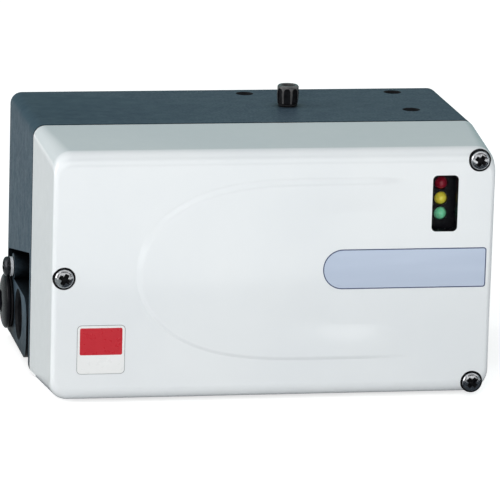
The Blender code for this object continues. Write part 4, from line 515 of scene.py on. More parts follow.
def make_finishes():
    """Every finish of the object, by the record's slot names and a few more."""
    paint = Finish("housing_paint", (0.044, 0.078, 0.105), 0.46)
    paint.mottle((0.037, 0.066, 0.094), 28.0, 0.35, 0.7).mottle((0.058, 0.094, 0.126), 300.0, 0.45, 0.7, 0.35)
    paint.uneven(0.07, 160.0).grain(1500.0, 0.025).grain(420.0, 0.03)
    # painted shade: near-black in the casting's pocket, holes and hollows, from ambient occlusion
    paint.wear((0.13, 0.165, 0.205), 0.035, 0.4).cavity((0.003, 0.004, 0.005), 42.0, 0.41, 0.86)
    paint.set(specular_ior_level=0.07)

    cover = Finish("cover_paint", (0.845, 0.868, 0.892), 0.16)
    cover.mottle((0.815, 0.842, 0.872), 18.0, 0.35, 0.65).uneven(0.035, 220.0)
    cover.grain(700.0, 0.006).grain(2600.0, 0.0025).set(coat_weight=0.5, coat_roughness=0.06)

    rubber = Finish("seal_rubber", (0.010, 0.010, 0.011), 0.66)
    rubber.mottle((0.020, 0.020, 0.022), 260.0).uneven(0.08, 500.0).grain(2400.0, 0.03)
    rubber.set(specular_ior_level=0.02)

    steel = Finish("bright_steel", (0.60, 0.61, 0.63), 0.21, 1.0)
    steel.mottle((0.40, 0.41, 0.43), 1100.0, 0.42, 0.62, 0.8).uneven(0.07, 900.0)
    steel.grain(1800.0, 0.008, (1.0, 1.0, 6.0))

    blacked = Finish("dark_steel", (0.060, 0.060, 0.066), 0.30, 1.0)
    blacked.mottle((0.035, 0.035, 0.040), 500.0, 0.4, 0.7, 0.8).uneven(0.08, 700.0).grain(1500.0, 0.01)
    blacked.wear((0.30, 0.30, 0.31), 0.04, 0.5)

    bore = Finish("bore_shadow", (0.005, 0.005, 0.006), 0.60)
    bore.mottle((0.010, 0.011, 0.013), 500.0).uneven(0.08, 700.0).grain(1500.0, 0.03)
    bore.set(specular_ior_level=0.08)

    recess = Finish("recess_shadow", (0.004, 0.004, 0.005), 0.55)
    recess.mottle((0.010, 0.010, 0.011), 900.0).uneven(0.08, 900.0).grain(2000.0, 0.02)
    recess.set(specular_ior_level=0.12)

    plated = Finish("dull_steel", (0.50, 0.50, 0.51), 0.34, 1.0)
    plated.mottle((0.36, 0.36, 0.38), 450.0, 0.4, 0.7, 0.7).uneven(0.08, 700.0).grain(1300.0, 0.012)

    black = Finish("black_plastic", (0.012, 0.012, 0.014), 0.34)
    black.mottle((0.020, 0.021, 0.023), 350.0).uneven(0.07, 600.0).grain(2600.0, 0.02)
    black.wear((0.10, 0.10, 0.11), 0.04, 0.4).set(specular_ior_level=0.26)

    vent = Finish("vent_black", (0.055, 0.053, 0.054), 0.18)
    vent.mottle((0.080, 0.078, 0.079), 350.0).uneven(0.04, 600.0).grain(1400.0, 0.006)
    vent.set(specular_ior_level=0.75)

    zinc = Finish("washer_zinc", (0.80, 0.82, 0.86), 0.46, 0.45)
    zinc.mottle((0.68, 0.70, 0.74), 500.0, 0.4, 0.7, 0.7).uneven(0.08, 700.0).grain(1500.0, 0.01)

    gloss = Finish("black_gloss", (0.004, 0.004, 0.006), 0.25)
    gloss.mottle((0.008, 0.008, 0.010), 240.0).uneven(0.04, 500.0).grain(1400.0, 0.006)
    gloss.set(specular_ior_level=0.10)

    pane = Finish("window_pane", (0.008, 0.008, 0.010), 0.05)
    pane.uneven(0.015, 300.0).grain(220.0, 0.004).set(alpha=0.08, specular_ior_level=0.12)

    lenses = {
        "red_lens": ((0.30, 0.010, 0.030), (0.16, 0.004, 0.014)),
        "yellow_lens": ((0.90, 0.80, 0.090), (0.66, 0.56, 0.03)),
        "green_lens": ((0.26, 0.84, 0.50), (0.14, 0.62, 0.34)),
    }
    for name, (colour, darker) in lenses.items():
        lens = Finish(name, colour, 0.16)
        lens.mottle(darker, 520.0, 0.35, 0.65).uneven(0.04, 700.0).grain(600.0, 0.01)
        lens.set(coat_weight=0.6, coat_roughness=0.05, subsurface_weight=0.25, subsurface_scale=0.6 * MM)
        lens.set(emission_color=(*colour, 1.0), emission_strength=0.16)

    bronze = Finish("bronze", (0.56, 0.37, 0.17), 0.34, 1.0)
    bronze.mottle((0.40, 0.24, 0.10), 420.0).uneven(0.08, 700.0).grain(1400.0, 0.015)

    nylon = Finish("white_nylon", (0.76, 0.75, 0.70), 0.44)
    nylon.mottle((0.68, 0.66, 0.60), 160.0).uneven(0.06, 500.0).grain(1700.0, 0.012)
    nylon.set(subsurface_weight=0.12, subsurface_scale=1.0 * MM)

    mask = Finish("circuit_board", (0.014, 0.098, 0.046), 0.30)
    mask.mottle((0.022, 0.150, 0.070), 240.0, 0.5, 0.56, 0.8, (1.0, 1.0, 0.25))
    mask.uneven(0.06, 500.0).grain(900.0, 0.012).set(coat_weight=0.3, coat_roughness=0.12)

    terminal = Finish("terminal_plastic", (0.035, 0.235, 0.085), 0.40)
    terminal.mottle((0.05, 0.28, 0.11), 200.0).uneven(0.06, 500.0).grain(2000.0, 0.015)

    switch = Finish("switch_plastic", (0.028, 0.070, 0.30), 0.40)
    switch.mottle((0.04, 0.09, 0.36), 260.0).uneven(0.06, 500.0).grain(2200.0, 0.012)

    milled = Finish("machined_aluminium", (0.72, 0.73, 0.745), 0.34, 1.0)
    milled.mottle((0.60, 0.61, 0.63), 90.0, 0.35, 0.65, 0.8, (8.0, 1.0, 1.0))
    milled.uneven(0.07, 420.0, (9.0, 1.0, 1.0)).grain(520.0, 0.012, (9.0, 1.0, 1.0))

    cast = Finish("bare_cast", (0.56, 0.57, 0.585), 0.42, 1.0)
    cast.mottle((0.42, 0.43, 0.45), 320.0).uneven(0.08, 500.0).grain(900.0, 0.03)

    wire = Finish("wire_mesh", (0.52, 0.52, 0.53), 0.36, 1.0)
    wire.mottle((0.38, 0.38, 0.40), 900.0).uneven(0.06, 900.0).grain(2600.0, 0.02)

    plate = Finish("plate_foil", (0.568, 0.650, 0.805), 0.32, 0.30)
    plate.mottle((0.630, 0.710, 0.860), 70.0, 0.35, 0.7, 0.5, (0.3, 1.0, 2.0))
    plate.uneven(0.05, 300.0, (0.1, 1.0, 1.0)).grain(2600.0, 0.0012, (0.04, 1.0, 1.0))

    outline = Finish("plate_ink", (0.045, 0.065, 0.150), 0.34)
    outline.mottle((0.06, 0.08, 0.18), 500.0).uneven(0.05, 700.0).grain(1600.0, 0.004)

    vinyl = Finish("label_vinyl", (0.86, 0.865, 0.87), 0.30)
    vinyl.mottle((0.835, 0.84, 0.845), 120.0, 0.35, 0.65, 0.5).uneven(0.05, 400.0).grain(1100.0, 0.006)

    red = Finish("label_red", (0.56, 0.022, 0.035), 0.30)
    red.mottle((0.53, 0.020, 0.034), 160.0, 0.35, 0.65, 0.5).uneven(0.05, 400.0).grain(1100.0, 0.005)

    grey = Finish("label_grey", (0.24, 0.25, 0.27), 0.36)
    grey.mottle((0.30, 0.31, 0.33), 300.0).uneven(0.05, 400.0).grain(1100.0, 0.004)


make_finishes()


def paint_cad_nodes():
    """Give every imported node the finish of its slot."""
    for name, slot in SLOTS.items():
        node = frame["nodes"][name]
        node.data.materials.clear()
        node.data.materials.append(FINISHES[slot])


# Finishes of pieces that have two
METAL = ("bright_steel", "recess_shadow")
BLACKED = ("dark_steel", "recess_shadow")
CASTING = ("housing_paint", "bore_shadow")
VENT_COAT = ("vent_black", "bore_shadow")
DIAL_COAT = ("white_nylon", "recess_shadow")

WINDOW_LOW, WINDOW_HIGH = box("status_window")
WINDOW_LEDGE = 1.5
WINDOW_CORNER = 2.0
COLLAR_WALL = 1.6
SCREW_TURNS = {"cover_screw_upper": 0.55, "cover_screw_lower": 0.75, "cover_screw_left": 0.50}
COVER_SCREWS = {name: centre_of(name, "Y") for name in SCREW_TURNS}


def rounding(radius, depth):
    """How far a rounded edge has moved in at a depth behind the front face."""
    rest = radius - min(depth, radius)
    return radius - math.sqrt(radius ** 2 - rest ** 2)


def cover_form(offset):
    """Solid inside the cover's skin, moved inwards by an offset."""
    face_y = FRONT_Y + offset
    high = COVER_ROUNDING - offset
    side = max(SIDE_ROUNDING - offset, 1.0)
    length = RIM_Y - face_y
    steps = 10
    depths = [length + OVERCUT] if offset else []
    depths += [length + (high - length) * i / 4 for i in range(4)]
    depths += [high + (side - high) * i / steps for i in range(steps)]
    depths += [side * (1 - math.sin(angle)) for angle in quarter_turns(steps)]
    outlines = []
    for depth in depths:
        share = max(length - depth, 0.0) / (RIM_Y - FRONT_Y)
        inset = offset + COVER_DRAFT * share
        across = inset + rounding(side, depth)
        upright = inset + rounding(high, depth)
        corner = EDGE_RADIUS + (COVER_CORNER - EDGE_RADIUS) * share - offset - rounding(side, depth)
        outlines.append(rounded_rectangle((LEFT + across, upright), (RIGHT - across, TOP - upright), corner))
    return lofted(outlines, "Y", [face_y + depth for depth in depths])


def window_outline(margin, corner=WINDOW_CORNER, steps=8):
    """Outline around the window opening, grown by a margin."""
    reach = margin - WINDOW_LEDGE
    low = (WINDOW_LOW.x - reach, WINDOW_LOW.z - reach)
    high = (WINDOW_HIGH.x + reach, WINDOW_HIGH.z + reach)
    return rounded_rectangle(low, high, corner, steps)


def cover_shell():
    """Drafted cast cover with its screw tubes, window, ribs and soft edges."""
    shell = cover_form(0.0)
    cut(shell, cover_form(COVER_WALL))
    for place in COVER_SCREWS.values():
        tube = rod("Y", place, SCREW_RADIUS + GAP + SCREW_TUBE_WALL, FRONT_Y, RIM_Y)
        join(shell, keep_inside(tube, cover_form(COVER_WALL / 2)))
    start = FRONT_Y + COVER_WALL / 2
    end = start + RIB_HEIGHT
    for z in (TOP * 0.27, TOP * 0.73):
        low = (LEFT + 8.0, start, z - RIB_WIDTH / 2)
        join(shell, block(low, (WINDOW_LOW.x - 7.0, end, z + RIB_WIDTH / 2)))
    for x in (LEFT * 0.5, 0.0, RIGHT * 0.48):
        join(shell, block((x - RIB_WIDTH / 2, start, 9.0), (x + RIB_WIDTH / 2, end, TOP - 9.0)))
    pocket_margin = WINDOW_LEDGE + GAP
    collar_margin = pocket_margin + COLLAR_WALL
    floor_y = WINDOW_LOW.y - GAP
    join(shell, prism(window_outline(collar_margin, WINDOW_CORNER + collar_margin), "Y", start, WINDOW_HIGH.y))
    cut(shell, prism(window_outline(pocket_margin), "Y", floor_y, WINDOW_HIGH.y + OVERCUT))
    cut(shell, prism(window_outline(0.0), "Y", FRONT_Y - OVERCUT, floor_y + OVERCUT))
    seat = FRONT_Y + SCREW_SEAT_DEPTH
    for place in COVER_SCREWS.values():
        drilled(shell, "Y", place, SCREW_SEAT_RADIUS, FRONT_Y - 2 * OVERCUT, seat, FINE_SIDES)
        drilled(shell, "Y", place, SCREW_RADIUS + GAP, seat - OVERCUT, RIM_Y + OVERCUT, SMALL_SIDES)
    soften(shell, MACHINED_EDGE, 3, 40.0)
    dress(shell, "cover_shell", "cover_paint", "cover", body="cover_group")


def smooth(share):
    """Ease a share from 0 to 1."""
    share = min(max(share, 0.0), 1.0)
    return share * share * (3 - 2 * share)


def relief_point(column, row):
    """Point of the raised form's face, for shares of its length and height."""
    sunk = 0.05
    low, high = RELIEF_BOTTOM, TOP - RELIEF_TOP
    half = (high - low) / 2
    start = LEFT + RELIEF_APEX
    x = start + (LEFT + RELIEF_END - start) * column ** 1.7
    u = max(1.0 - (x - start) / RELIEF_LENGTH, 0.0)
    z = (low + high) / 2 - half * math.sqrt(max(1.0 - u ** 3, 0.0)) * math.cos(math.pi * row)
    v = (z - (low + high) / 2) / half
    steepness = math.hypot(3 * u ** 2 / RELIEF_LENGTH, 2 * v / half)
    distance = (1.0 - u ** 3 - v ** 2) / max(steepness, 0.002)
    softness = RELIEF_LOWER_SLOPE + (RELIEF_UPPER_SLOPE - RELIEF_LOWER_SLOPE) * smooth(v + 0.75)
    hollow = smooth((x - LEFT - 85.0) / 40.0) * smooth(distance / 24.0)
    fade = 1.0 - smooth((x - LEFT - 130.0) / 28.0)
    height = (RELIEF_HEIGHT + sunk) * smooth(distance / softness) * (1.0 - hollow) * fade - sunk
    return x, FRONT_Y - height, z


def cover_relief():
    """Low raised form on the face: soft shoulders, flat inside, faded out to the right."""
    back = FRONT_Y + 0.6
    cells = 120
    bm = bmesh.new()
    front, rear = [], []
    for i in range(cells + 1):
        line = [relief_point(i / cells, k / cells) for k in range(cells + 1)]
        front.append([bm.verts.new(along("Y", y, x, z)) for x, y, z in line])
        rear.append([bm.verts.new(along("Y", back, x, z)) for x, y, z in line])
    for i in range(cells):
        for k in range(cells):
            bm.faces.new((front[i][k], front[i + 1][k], front[i + 1][k + 1], front[i][k + 1]))
            bm.faces.new((rear[i][k], rear[i][k + 1], rear[i + 1][k + 1], rear[i + 1][k]))
        for k in (0, cells):
            bm.faces.new((front[i][k], rear[i][k], rear[i + 1][k], front[i + 1][k]))
            bm.faces.new((front[k][i], front[k][i + 1], rear[k][i + 1], rear[k][i]))
    bmesh.ops.remove_doubles(bm, verts=bm.verts, dist=0.001 * MM)
    bmesh.ops.dissolve_degenerate(bm, edges=bm.edges, dist=0.0005 * MM)
    made = to_object("cover_relief", bm)
    dress(made, "cover_relief", "cover_paint", body="cover_group", slot="cover_paint")


def cross_recess(axis, centre, mouth, floor_at, arm, width):
    """Tapered cross cutter from a screw's head down to the recess floor."""
    tools = []
    outside = mouth + (mouth - floor_at) * 0.6
    for turn in (0, 1):
        outlines = []
        for scale in (1.45, 1.0, 0.45):
            a = arm * scale
            b = width * (0.55 + 0.45 * scale) / 2
            corners = bar((-a, -b), (a, b))
            if turn:
                corners = [(-v, u) for u, v in corners]
            outlines.append([(centre[0] + u, centre[1] + v) for u, v in corners])
        tools.append(lofted(outlines, axis, (outside, mouth, floor_at)))
    profile = [(0.0, outside), (arm * 0.75, outside), (arm * 0.5, mouth), (arm * 0.22, floor_at)]
    profile.append((0.0, floor_at + (floor_at - mouth) * 0.2))
    return join(tools[0], tools[1], turned(profile, axis, centre, 16))


def pan_head_screw(axis, centre, size, seat, tip, pitch, turn, finishes=METAL):
    """Screw with a domed head, cross recess and thread.

    The size is the shank's radius, the head's radius and its height; the seat is the head's underside.
    """
    radius, head_radius, head_height = size
    side = 1.0 if tip < seat else -1.0
    top = seat + side * head_height
    sunk = head_height * 0.62
    core = radius * 0.86
    dome = [(head_radius * math.sin(t) ** 0.8, top - side * sunk * (1 - math.cos(t))) for t in quarter_turns(9)]
    under = [(head_radius, seat + side * 0.25), (head_radius - 0.25, seat), (core, seat)]
    end = [(core, tip + side * radius * 0.4), (radius * 0.55, tip), (0.0, tip)]
    screw = coated(turned(dome + under + end, axis, centre), 0, *finishes)
    recess = cross_recess(axis, centre, top, top - side * sunk, head_radius * 0.68, head_radius * 0.50)
    cut(screw, coated(recess, 1, *finishes))
    pivot = Matrix.Translation(along(axis, seat, *centre))
    screw.data.transform(pivot @ Matrix.Rotation(turn, 4, axis) @ pivot.inverted())
    low, high = sorted((tip + side * radius * 0.5, tip + side * (abs(seat - tip) - 0.6)))
    threaded = min(high - low, SCREW_GRIP)
    start = high - threaded if side < 0 else low
    ridge = thread(axis, centre, core, pitch, start, start + threaded, radius * 0.14)
    return merged("screw", [screw, ridge])


def cover_screws():
    """Three captive screws, each with a seal ring round its head."""
    size = (SCREW_RADIUS, SCREW_HEAD_RADIUS, SCREW_HEAD_HEIGHT)
    for name, place in COVER_SCREWS.items():
        low, high = box(name)
        seat = low.y + SCREW_HEAD_HEIGHT
        screw = pan_head_screw("Y", place, size, seat, high.y, SCREW_PITCH, SCREW_TURNS[name])
        dress(screw, name + "_threaded", METAL, name, body="cover_group")
        inner, outer = SCREW_HEAD_RADIUS + 0.05, SCREW_SEAT_RADIUS - 0.05
        seal = ring("Y", place, inner, outer, FRONT_Y + 0.35, FRONT_Y + SCREW_SEAT_DEPTH, 0.2)
        dress(seal, name + "_seal", "seal_rubber", body="cover_group", slot="seal_rubber")


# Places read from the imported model
GROUND = centre_of("ground_screw", "X")
PLUG = centre_of("conduit_plug", "X")
VENT = centre_of("vent_cap", "Z")
SHAFT = centre_of("feedback_shaft", "Y")
SENSOR_AXIS = centre_of("sensor_shaft", "Y")
BOARD_LOW, BOARD_HIGH = box("main_board")
INNER_REAR_Y = REAR_Y - REAR_WALL
PORT_NAMES = ("output_2_screen", "supply_screen", "output_1_screen")
PORTS = [centre_of(name, "X") for name in PORT_NAMES]
PORT_Y = PORTS[1][0]

# Casting
POCKET_DEPTH = 16.0
POCKET_FLANGE = 3.0
POCKET_REAR_WALL = 4.0
POCKET_ROOF_FRONT = 53.0
POCKET_ROOF_REAR = 40.0
POCKET_FILLET = 3.0
CONDUIT_RADIUS = 10.0
CONDUIT_CHAMFER = 1.1
CONDUIT = (PLUG[0] - 25.0, PLUG[1])
CONDUIT_BOSS_FRONT = 24.0
CONDUIT_BOSS_LOW = 3.5
CONDUIT_BOSS_HIGH = 30.5
CONDUIT_BOSS_CORNER = 9.0
GROUND_PAD_RADIUS = 5.6
TAPPED_RADIUS = 3.25
TAPPED_DEPTH = 10.0
TAPPED_WALL = 3.0
TAPPED_PITCH = 1.25
TOP_HOLES = [(RIGHT - x, REAR_Y - y) for x, y in ((22.3, 11.0), (88.3, 11.0), (22.3, 49.0))]
REAR_HOLES = [(SHAFT[0] + side * 38.0, SHAFT[1] + level * 30.0) for side in (-1, 1) for level in (-1, 1)]
SCREW_BOSS_RADIUS = SCREW_RADIUS + GAP + 3.4
SCREW_BOSS_LENGTH = 26.0
POST_RADIUS = 3.5
BOARD_INSET = 5.0
BOARD_BREAK_X = RIGHT - 59.0
POST_LEFT, POST_RIGHT = BOARD_LOW.x + BOARD_INSET, BOARD_BREAK_X - BOARD_INSET
POST_LOW, POST_HIGH = BOARD_LOW.z + BOARD_INSET, BOARD_HIGH.z - BOARD_INSET
THROUGH_SCREWS = [(POST_LEFT, POST_HIGH), (POST_RIGHT, POST_HIGH), (POST_RIGHT, POST_LOW)]
SHORT_SCREW = (POST_LEFT, POST_LOW)
BOARD_POSTS = [THROUGH_SCREWS[0], (POST_LEFT + 10.0, POST_LOW), *THROUGH_SCREWS[1:]]
SENSOR_POSTS = [(SENSOR_AXIS[0], SENSOR_AXIS[1] + level * 20.0) for level in (-1, 1)]
PORT_RADIUS = 6.6
PORT_DEPTH = 14.0
PORT_BOSS_RADIUS = 10.5
PORT_BOSS_LENGTH = 18.0
PORT_PASSAGE = 3.0
SHAFT_RADIUS = 4.0
BUSH_RADIUS = 6.3
SEAL_RADIUS = 9.3
SEAL_DEPTH = 3.6
SHAFT_BOSS_RADIUS = 12.0
SHAFT_BOSS_INSIDE = 22.0
VENT_SHANK_RADIUS = 2.8
VENT_FLUTES = 8
GASKET_WALL = 3.4

# Plates on the cover: lowest and highest corner from the front
NAME_PLATE = ((20.6, 48.0), (90.2, 65.0))
NAME_PLATE_CORNER = 8.4
NAME_PLATE_BORDER = 0.45
LABEL = ((-82.4, 13.6), (-62.2, 34.5))
LABEL_BORDER = 0.22
LABEL_BAND_MARGIN = 1.2
LABEL_BAND_RISE = 7.0


def quarter(radius, steps):
    """Insets and depths of a rounded edge, from the face to the side."""
    return [(radius * (1 - math.sin(t)), radius * (1 - math.cos(t))) for t in quarter_turns(steps)]


def framed(inset, radius):
    """The housing's outline moved in by an inset."""
    return rounded_rectangle((LEFT + inset, inset), (RIGHT - inset, TOP - inset), radius)


def frame_form(stations):
    """Solid through the housing's outline, given by insets and depths."""
    outlines = [framed(inset, EDGE_RADIUS - inset) for inset, y in stations]
    return lofted(outlines, "Y", [y for inset, y in stations])


def housing_form():
    """Box with rounded long edges, a soft front edge and rounded rear edges."""
    stations = [(inset, JOINT_Y + depth) for inset, depth in quarter(JOINT_EDGE, 3)]
    stations += [(inset, REAR_Y - depth) for inset, depth in reversed(quarter(REAR_ROUNDING, 6))]
    return frame_form(stations)


def pocket_form(offset):
    """The hollow under the left side's slanting edge, grown by an offset."""
    front = JOINT_Y + POCKET_FLANGE - offset
    rear = REAR_Y - POCKET_REAR_WALL + offset
    corners = [(rear, -OVERCUT), (rear, POCKET_ROOF_REAR + offset), (front, POCKET_ROOF_FRONT + offset)]
    corners.append((front, -OVERCUT))
    roof = filleted(corners, POCKET_FILLET, 6)[1:-1]
    return prism([corners[3], corners[0]] + roof, "X", LEFT - OVERCUT, LEFT + POCKET_DEPTH + offset)


def add_inner_bosses(body):
    """Bosses and posts that are cast with the housing."""
    rear = INNER_REAR_Y + REAR_WALL / 2
    tapped = TAPPED_RADIUS + TAPPED_WALL
    for place in COVER_SCREWS.values():
        join(body, rod("Y", place, SCREW_BOSS_RADIUS, JOINT_Y + CAST_EDGE, JOINT_Y + SCREW_BOSS_LENGTH))
    for place in TOP_HOLES:
        join(body, rod("Z", place, tapped, TOP - TAPPED_DEPTH - TAPPED_WALL, TOP - HOUSING_WALL / 2))
    for place in REAR_HOLES:
        join(body, rod("Y", place, tapped, REAR_Y - TAPPED_DEPTH - TAPPED_WALL, rear))
    start = BOARD_HIGH.y + GAP
    for place in BOARD_POSTS:
        join(body, rod("Y", place, POST_RADIUS, start, rear))
    arm = (BOARD_HIGH.x - BOARD_INSET, POST_HIGH)
    lug_end = COVER_SCREWS["cover_screw_upper"][0]
    lug = block((arm[0], start, arm[1] - POST_RADIUS), (lug_end, start + 4.0, arm[1] + POST_RADIUS))
    join(body, lug, rod("Y", arm, POST_RADIUS, start, start + 4.0))
    for place in SENSOR_POSTS:
        join(body, rod("Y", place, POST_RADIUS, box("sensor_bracket")[1].y + GAP, rear))
    for place in PORTS:
        join(body, rod("X", place, PORT_BOSS_RADIUS, RIGHT - PORT_BOSS_LENGTH, RIGHT - HOUSING_WALL / 2))
    join(body, rod("Y", SHAFT, SHAFT_BOSS_RADIUS, REAR_Y - SHAFT_BOSS_INSIDE, SPIGOT_END, FINE_SIDES))


def chamfered_hole(target, axis, place, radius, face, floor_at, chamfer):
    """Drill a hole from a face, with a chamfered mouth."""
    out = 1.0 if face > floor_at else -1.0
    outside = face + out * OVERCUT
    profile = [(0.0, outside), (radius + chamfer + OVERCUT, outside), (radius, face - out * chamfer)]
    profile += [(radius, floor_at), (0.0, floor_at)]
    return cut(target, coated(turned(profile, axis, place, FINE_SIDES), 1, *CASTING))


def drill_housing(body):
    """Every hole that is machined in the casting."""
    for place in COVER_SCREWS.values():
        chamfered_hole(body, "Y", place, SCREW_RADIUS + GAP, JOINT_Y, JOINT_Y + 15.2, 0.4)
    for place in TOP_HOLES:
        chamfered_hole(body, "Z", place, TAPPED_RADIUS, TOP, TOP - TAPPED_DEPTH, 0.6)
    for place in REAR_HOLES:
        chamfered_hole(body, "Y", place, TAPPED_RADIUS, REAR_Y, REAR_Y - TAPPED_DEPTH, 0.6)
    end = LEFT + POCKET_DEPTH + HOUSING_WALL + OVERCUT
    for place in (CONDUIT, PLUG):
        chamfered_hole(body, "X", place, CONDUIT_RADIUS, LEFT, end, CONDUIT_CHAMFER)
    start = BOARD_HIGH.y + GAP
    for place in THROUGH_SCREWS:
        chamfered_hole(body, "Y", place, 1.6, start, start + 8.0, 0.3)
    chamfered_hole(body, "X", GROUND, 2.3, LEFT, LEFT + 10.6, 0.4)
    for place in PORTS:
        floor_x = RIGHT - PORT_DEPTH
        chamfered_hole(body, "X", place, PORT_RADIUS, RIGHT, floor_x, 0.7)
        drilled(body, "X", place, PORT_PASSAGE, RIGHT - PORT_BOSS_LENGTH - OVERCUT, floor_x + OVERCUT)
    drilled(body, "Z", VENT, VENT_SHANK_RADIUS + GAP, TOP - HOUSING_WALL - OVERCUT, TOP + OVERCUT)
    start = REAR_Y - SHAFT_BOSS_INSIDE - OVERCUT
    drilled(body, "Y", SHAFT, BUSH_RADIUS, start, SPIGOT_END + OVERCUT, FINE_SIDES)
    chamfered_hole(body, "Y", SHAFT, SEAL_RADIUS, SPIGOT_END, SPIGOT_END - SEAL_DEPTH, 0.4)


def housing_threads():
    """Thread ridges in the tapped holes, the air ports and the open conduit entry."""
    made = []
    for axis, face, places in (("Z", TOP, TOP_HOLES), ("Y", REAR_Y, REAR_HOLES)):
        for place in places:
            made.append(thread(axis, place, TAPPED_RADIUS, TAPPED_PITCH, face - 9.0, face - 0.9, 0.45, True))
    for place in PORTS:
        made.append(thread("X", place, PORT_RADIUS, 1.4, RIGHT - 11.5, RIGHT - 1.0, 0.6, True, 48))
    end = LEFT + POCKET_DEPTH + 2.0
    made.append(thread("X", CONDUIT, CONDUIT_RADIUS, 1.5, LEFT + 1.6, end, 0.75, True, 64))
    return [coated(ridge, 1, *CASTING) for ridge in made]


def housing():
    """Cast box, open to the front, with its bosses, pocket and ports."""
    body = housing_form()
    stations = [(0.0, JOINT_Y - OVERCUT), (0.0, INNER_REAR_Y - 2.0)]
    stations += [(inset, INNER_REAR_Y - depth) for inset, depth in reversed(quarter(2.0, 4)[:-1])]
    outlines = [framed(HOUSING_WALL + inset, EDGE_RADIUS / 2) for inset, y in stations]
    cavity = lofted(outlines, "Y", [y for inset, y in stations])
    cut(cavity, pocket_form(HOUSING_WALL))
    cut(body, cavity, pocket_form(0.0))
    inside = LEFT + POCKET_DEPTH + HOUSING_WALL / 2
    corners = ((CONDUIT[0] - CONDUIT_BOSS_FRONT, CONDUIT_BOSS_LOW), (REAR_Y, CONDUIT_BOSS_HIGH))
    boss = prism(rounded_rectangle(*corners, CONDUIT_BOSS_CORNER, 14), "X", LEFT, inside)
    keep_inside(boss, housing_form())
    join(body, boss, rod("X", GROUND, GROUND_PAD_RADIUS, LEFT, inside))
    add_inner_bosses(body)
    coated(body, 0, *CASTING)
    drill_housing(body)
    soften(body, CAST_EDGE, 3, 40.0)
    dress(merged("housing_casting", [body] + housing_threads()), "housing_casting", CASTING, "housing")


def gasket():
    """Rubber frame with rounded edges between the housing and the cover."""
    low_y, high_y = (corner.y for corner in box("cover_gasket"))
    made = frame_form([(0.25, low_y), (0.08, low_y + 0.2), (0.08, high_y - 0.2), (0.25, high_y)])
    cut(made, prism(framed(GASKET_WALL, EDGE_RADIUS / 4), "Y", low_y - OVERCUT, high_y + OVERCUT))
    dress(made, "gasket_moulded", "seal_rubber", "cover_gasket")


def seal_ring(node, name, axis, place, inner, outer, edge, sides=MEDIUM_SIDES):
    """Rubber ring between the two faces of a packed seal."""
    low, high = box(node)
    start, end = (low.x, high.x) if axis == "X" else (low.z, high.z)
    dress(ring(axis, place, inner, outer, start, end, edge, sides), name, "seal_rubber", node)


def vent_cap():
    """Fluted breather cap with a bored top and a screen inside, and its seal."""
    base = box("vent_seal")[1].z + GAP
    bottom = box("vent_cap")[0].z
    top = box("vent_cap")[1].z
    floor_z = top - 5.0
    profile = steps_from(base, (0.0, 0.0), (4.45, 0.0), (4.6, 0.2)) + [(4.88, (base + top) / 2)]
    profile += steps_from(top, (4.6, -0.6), (4.1, 0.0), (3.3, 0.0), (3.0, -0.3))
    profile += [(3.0, floor_z), (0.0, floor_z)]
    body = coated(turned(profile, "Z", VENT, FINE_SIDES), 0, *VENT_COAT)
    half = 1.4
    outline = [(-half, base - OVERCUT), (half, base - OVERCUT)]
    outline += arc((0.0, top - 1.1 - half), half, 0.0, math.pi, 14)
    for i in range(VENT_FLUTES):
        angle = math.radians(-15.0) + FULL_TURN * i / VENT_FLUTES
        flute = moved(prism(outline, "X", 4.1, 9.0), (*VENT, 0.0), angle, "Z")
        cut(body, coated(flute, 1, *VENT_COAT))
    profile = steps_from(bottom, (0.0, 0.0), (2.5, 0.0), (2.7, 0.3))
    profile += steps_from(base, (2.7, OVERCUT), (0.0, OVERCUT))
    join(body, coated(turned(profile, "Z", VENT), 1, *VENT_COAT))
    soften(body, 0.14, 2, 30.0)
    screen = ring("Z", VENT, 0.9, 3.0, floor_z, floor_z + 0.8)
    for place in circle(VENT, 1.95, 6):
        drilled(screen, "Z", place, 0.55, floor_z - OVERCUT, floor_z + 2 * OVERCUT, 16)
    made = merged("vent_cap_fluted", [body, coated(screen, 1, *VENT_COAT)])
    dress(made, "vent_cap_fluted", VENT_COAT, "vent_cap", crease=32.0)
    seal_ring("vent_seal", "vent_seal_ring", "Z", VENT, 3.1, 4.1, 0.25)


def conduit_plug():
    """Domed blanking plug with a hexagon socket, and its seal."""
    low, high = box("conduit_plug")
    flange = low.x + 3.0
    shank = CONDUIT_RADIUS - GAP
    bore = shank - 2.2
    reach = 12.0
    dome = [(reach * math.sin(t) ** 0.75, flange - 0.9 - 2.1 * math.cos(t)) for t in quarter_turns(14)]
    dome[0] = (0.0, low.x)
    profile = dome + steps_from(flange, (reach, -0.3), (reach - 0.3, 0.0), (shank, 0.0))
    profile += [(shank, high.x), (bore, high.x), (bore, flange + 4.0), (0.0, flange + 4.0)]
    body = turned(profile, "X", PLUG, FINE_SIDES)
    cut(body, prism(hexagon(PLUG, 9.2), "X", low.x - OVERCUT, flange + OVERCUT))
    soften(body, 0.25, 2, 38.0)
    dress(body, "conduit_plug_body", "black_gloss", "conduit_plug")
    seal_ring("conduit_plug_seal", "conduit_plug_ring", "X", PLUG, CONDUIT_RADIUS, reach - GAP, 0.3, FINE_SIDES)


def ground_terminal():
    """Outside ground screw with its washer."""
    low, high = box("ground_washer")
    tip = box("ground_screw")[1].x
    screw = pan_head_screw("X", GROUND, (2.0, 4.3, 2.8), low.x - GAP, tip, SCREW_PITCH, 0.4, BLACKED)
    dress(screw, "ground_screw_threaded", BLACKED, "ground_screw")
    washer = ring("X", GROUND, 2.3, 4.2, low.x, high.x, 0.12)
    dress(washer, "ground_washer_turned", "washer_zinc", "ground_washer")


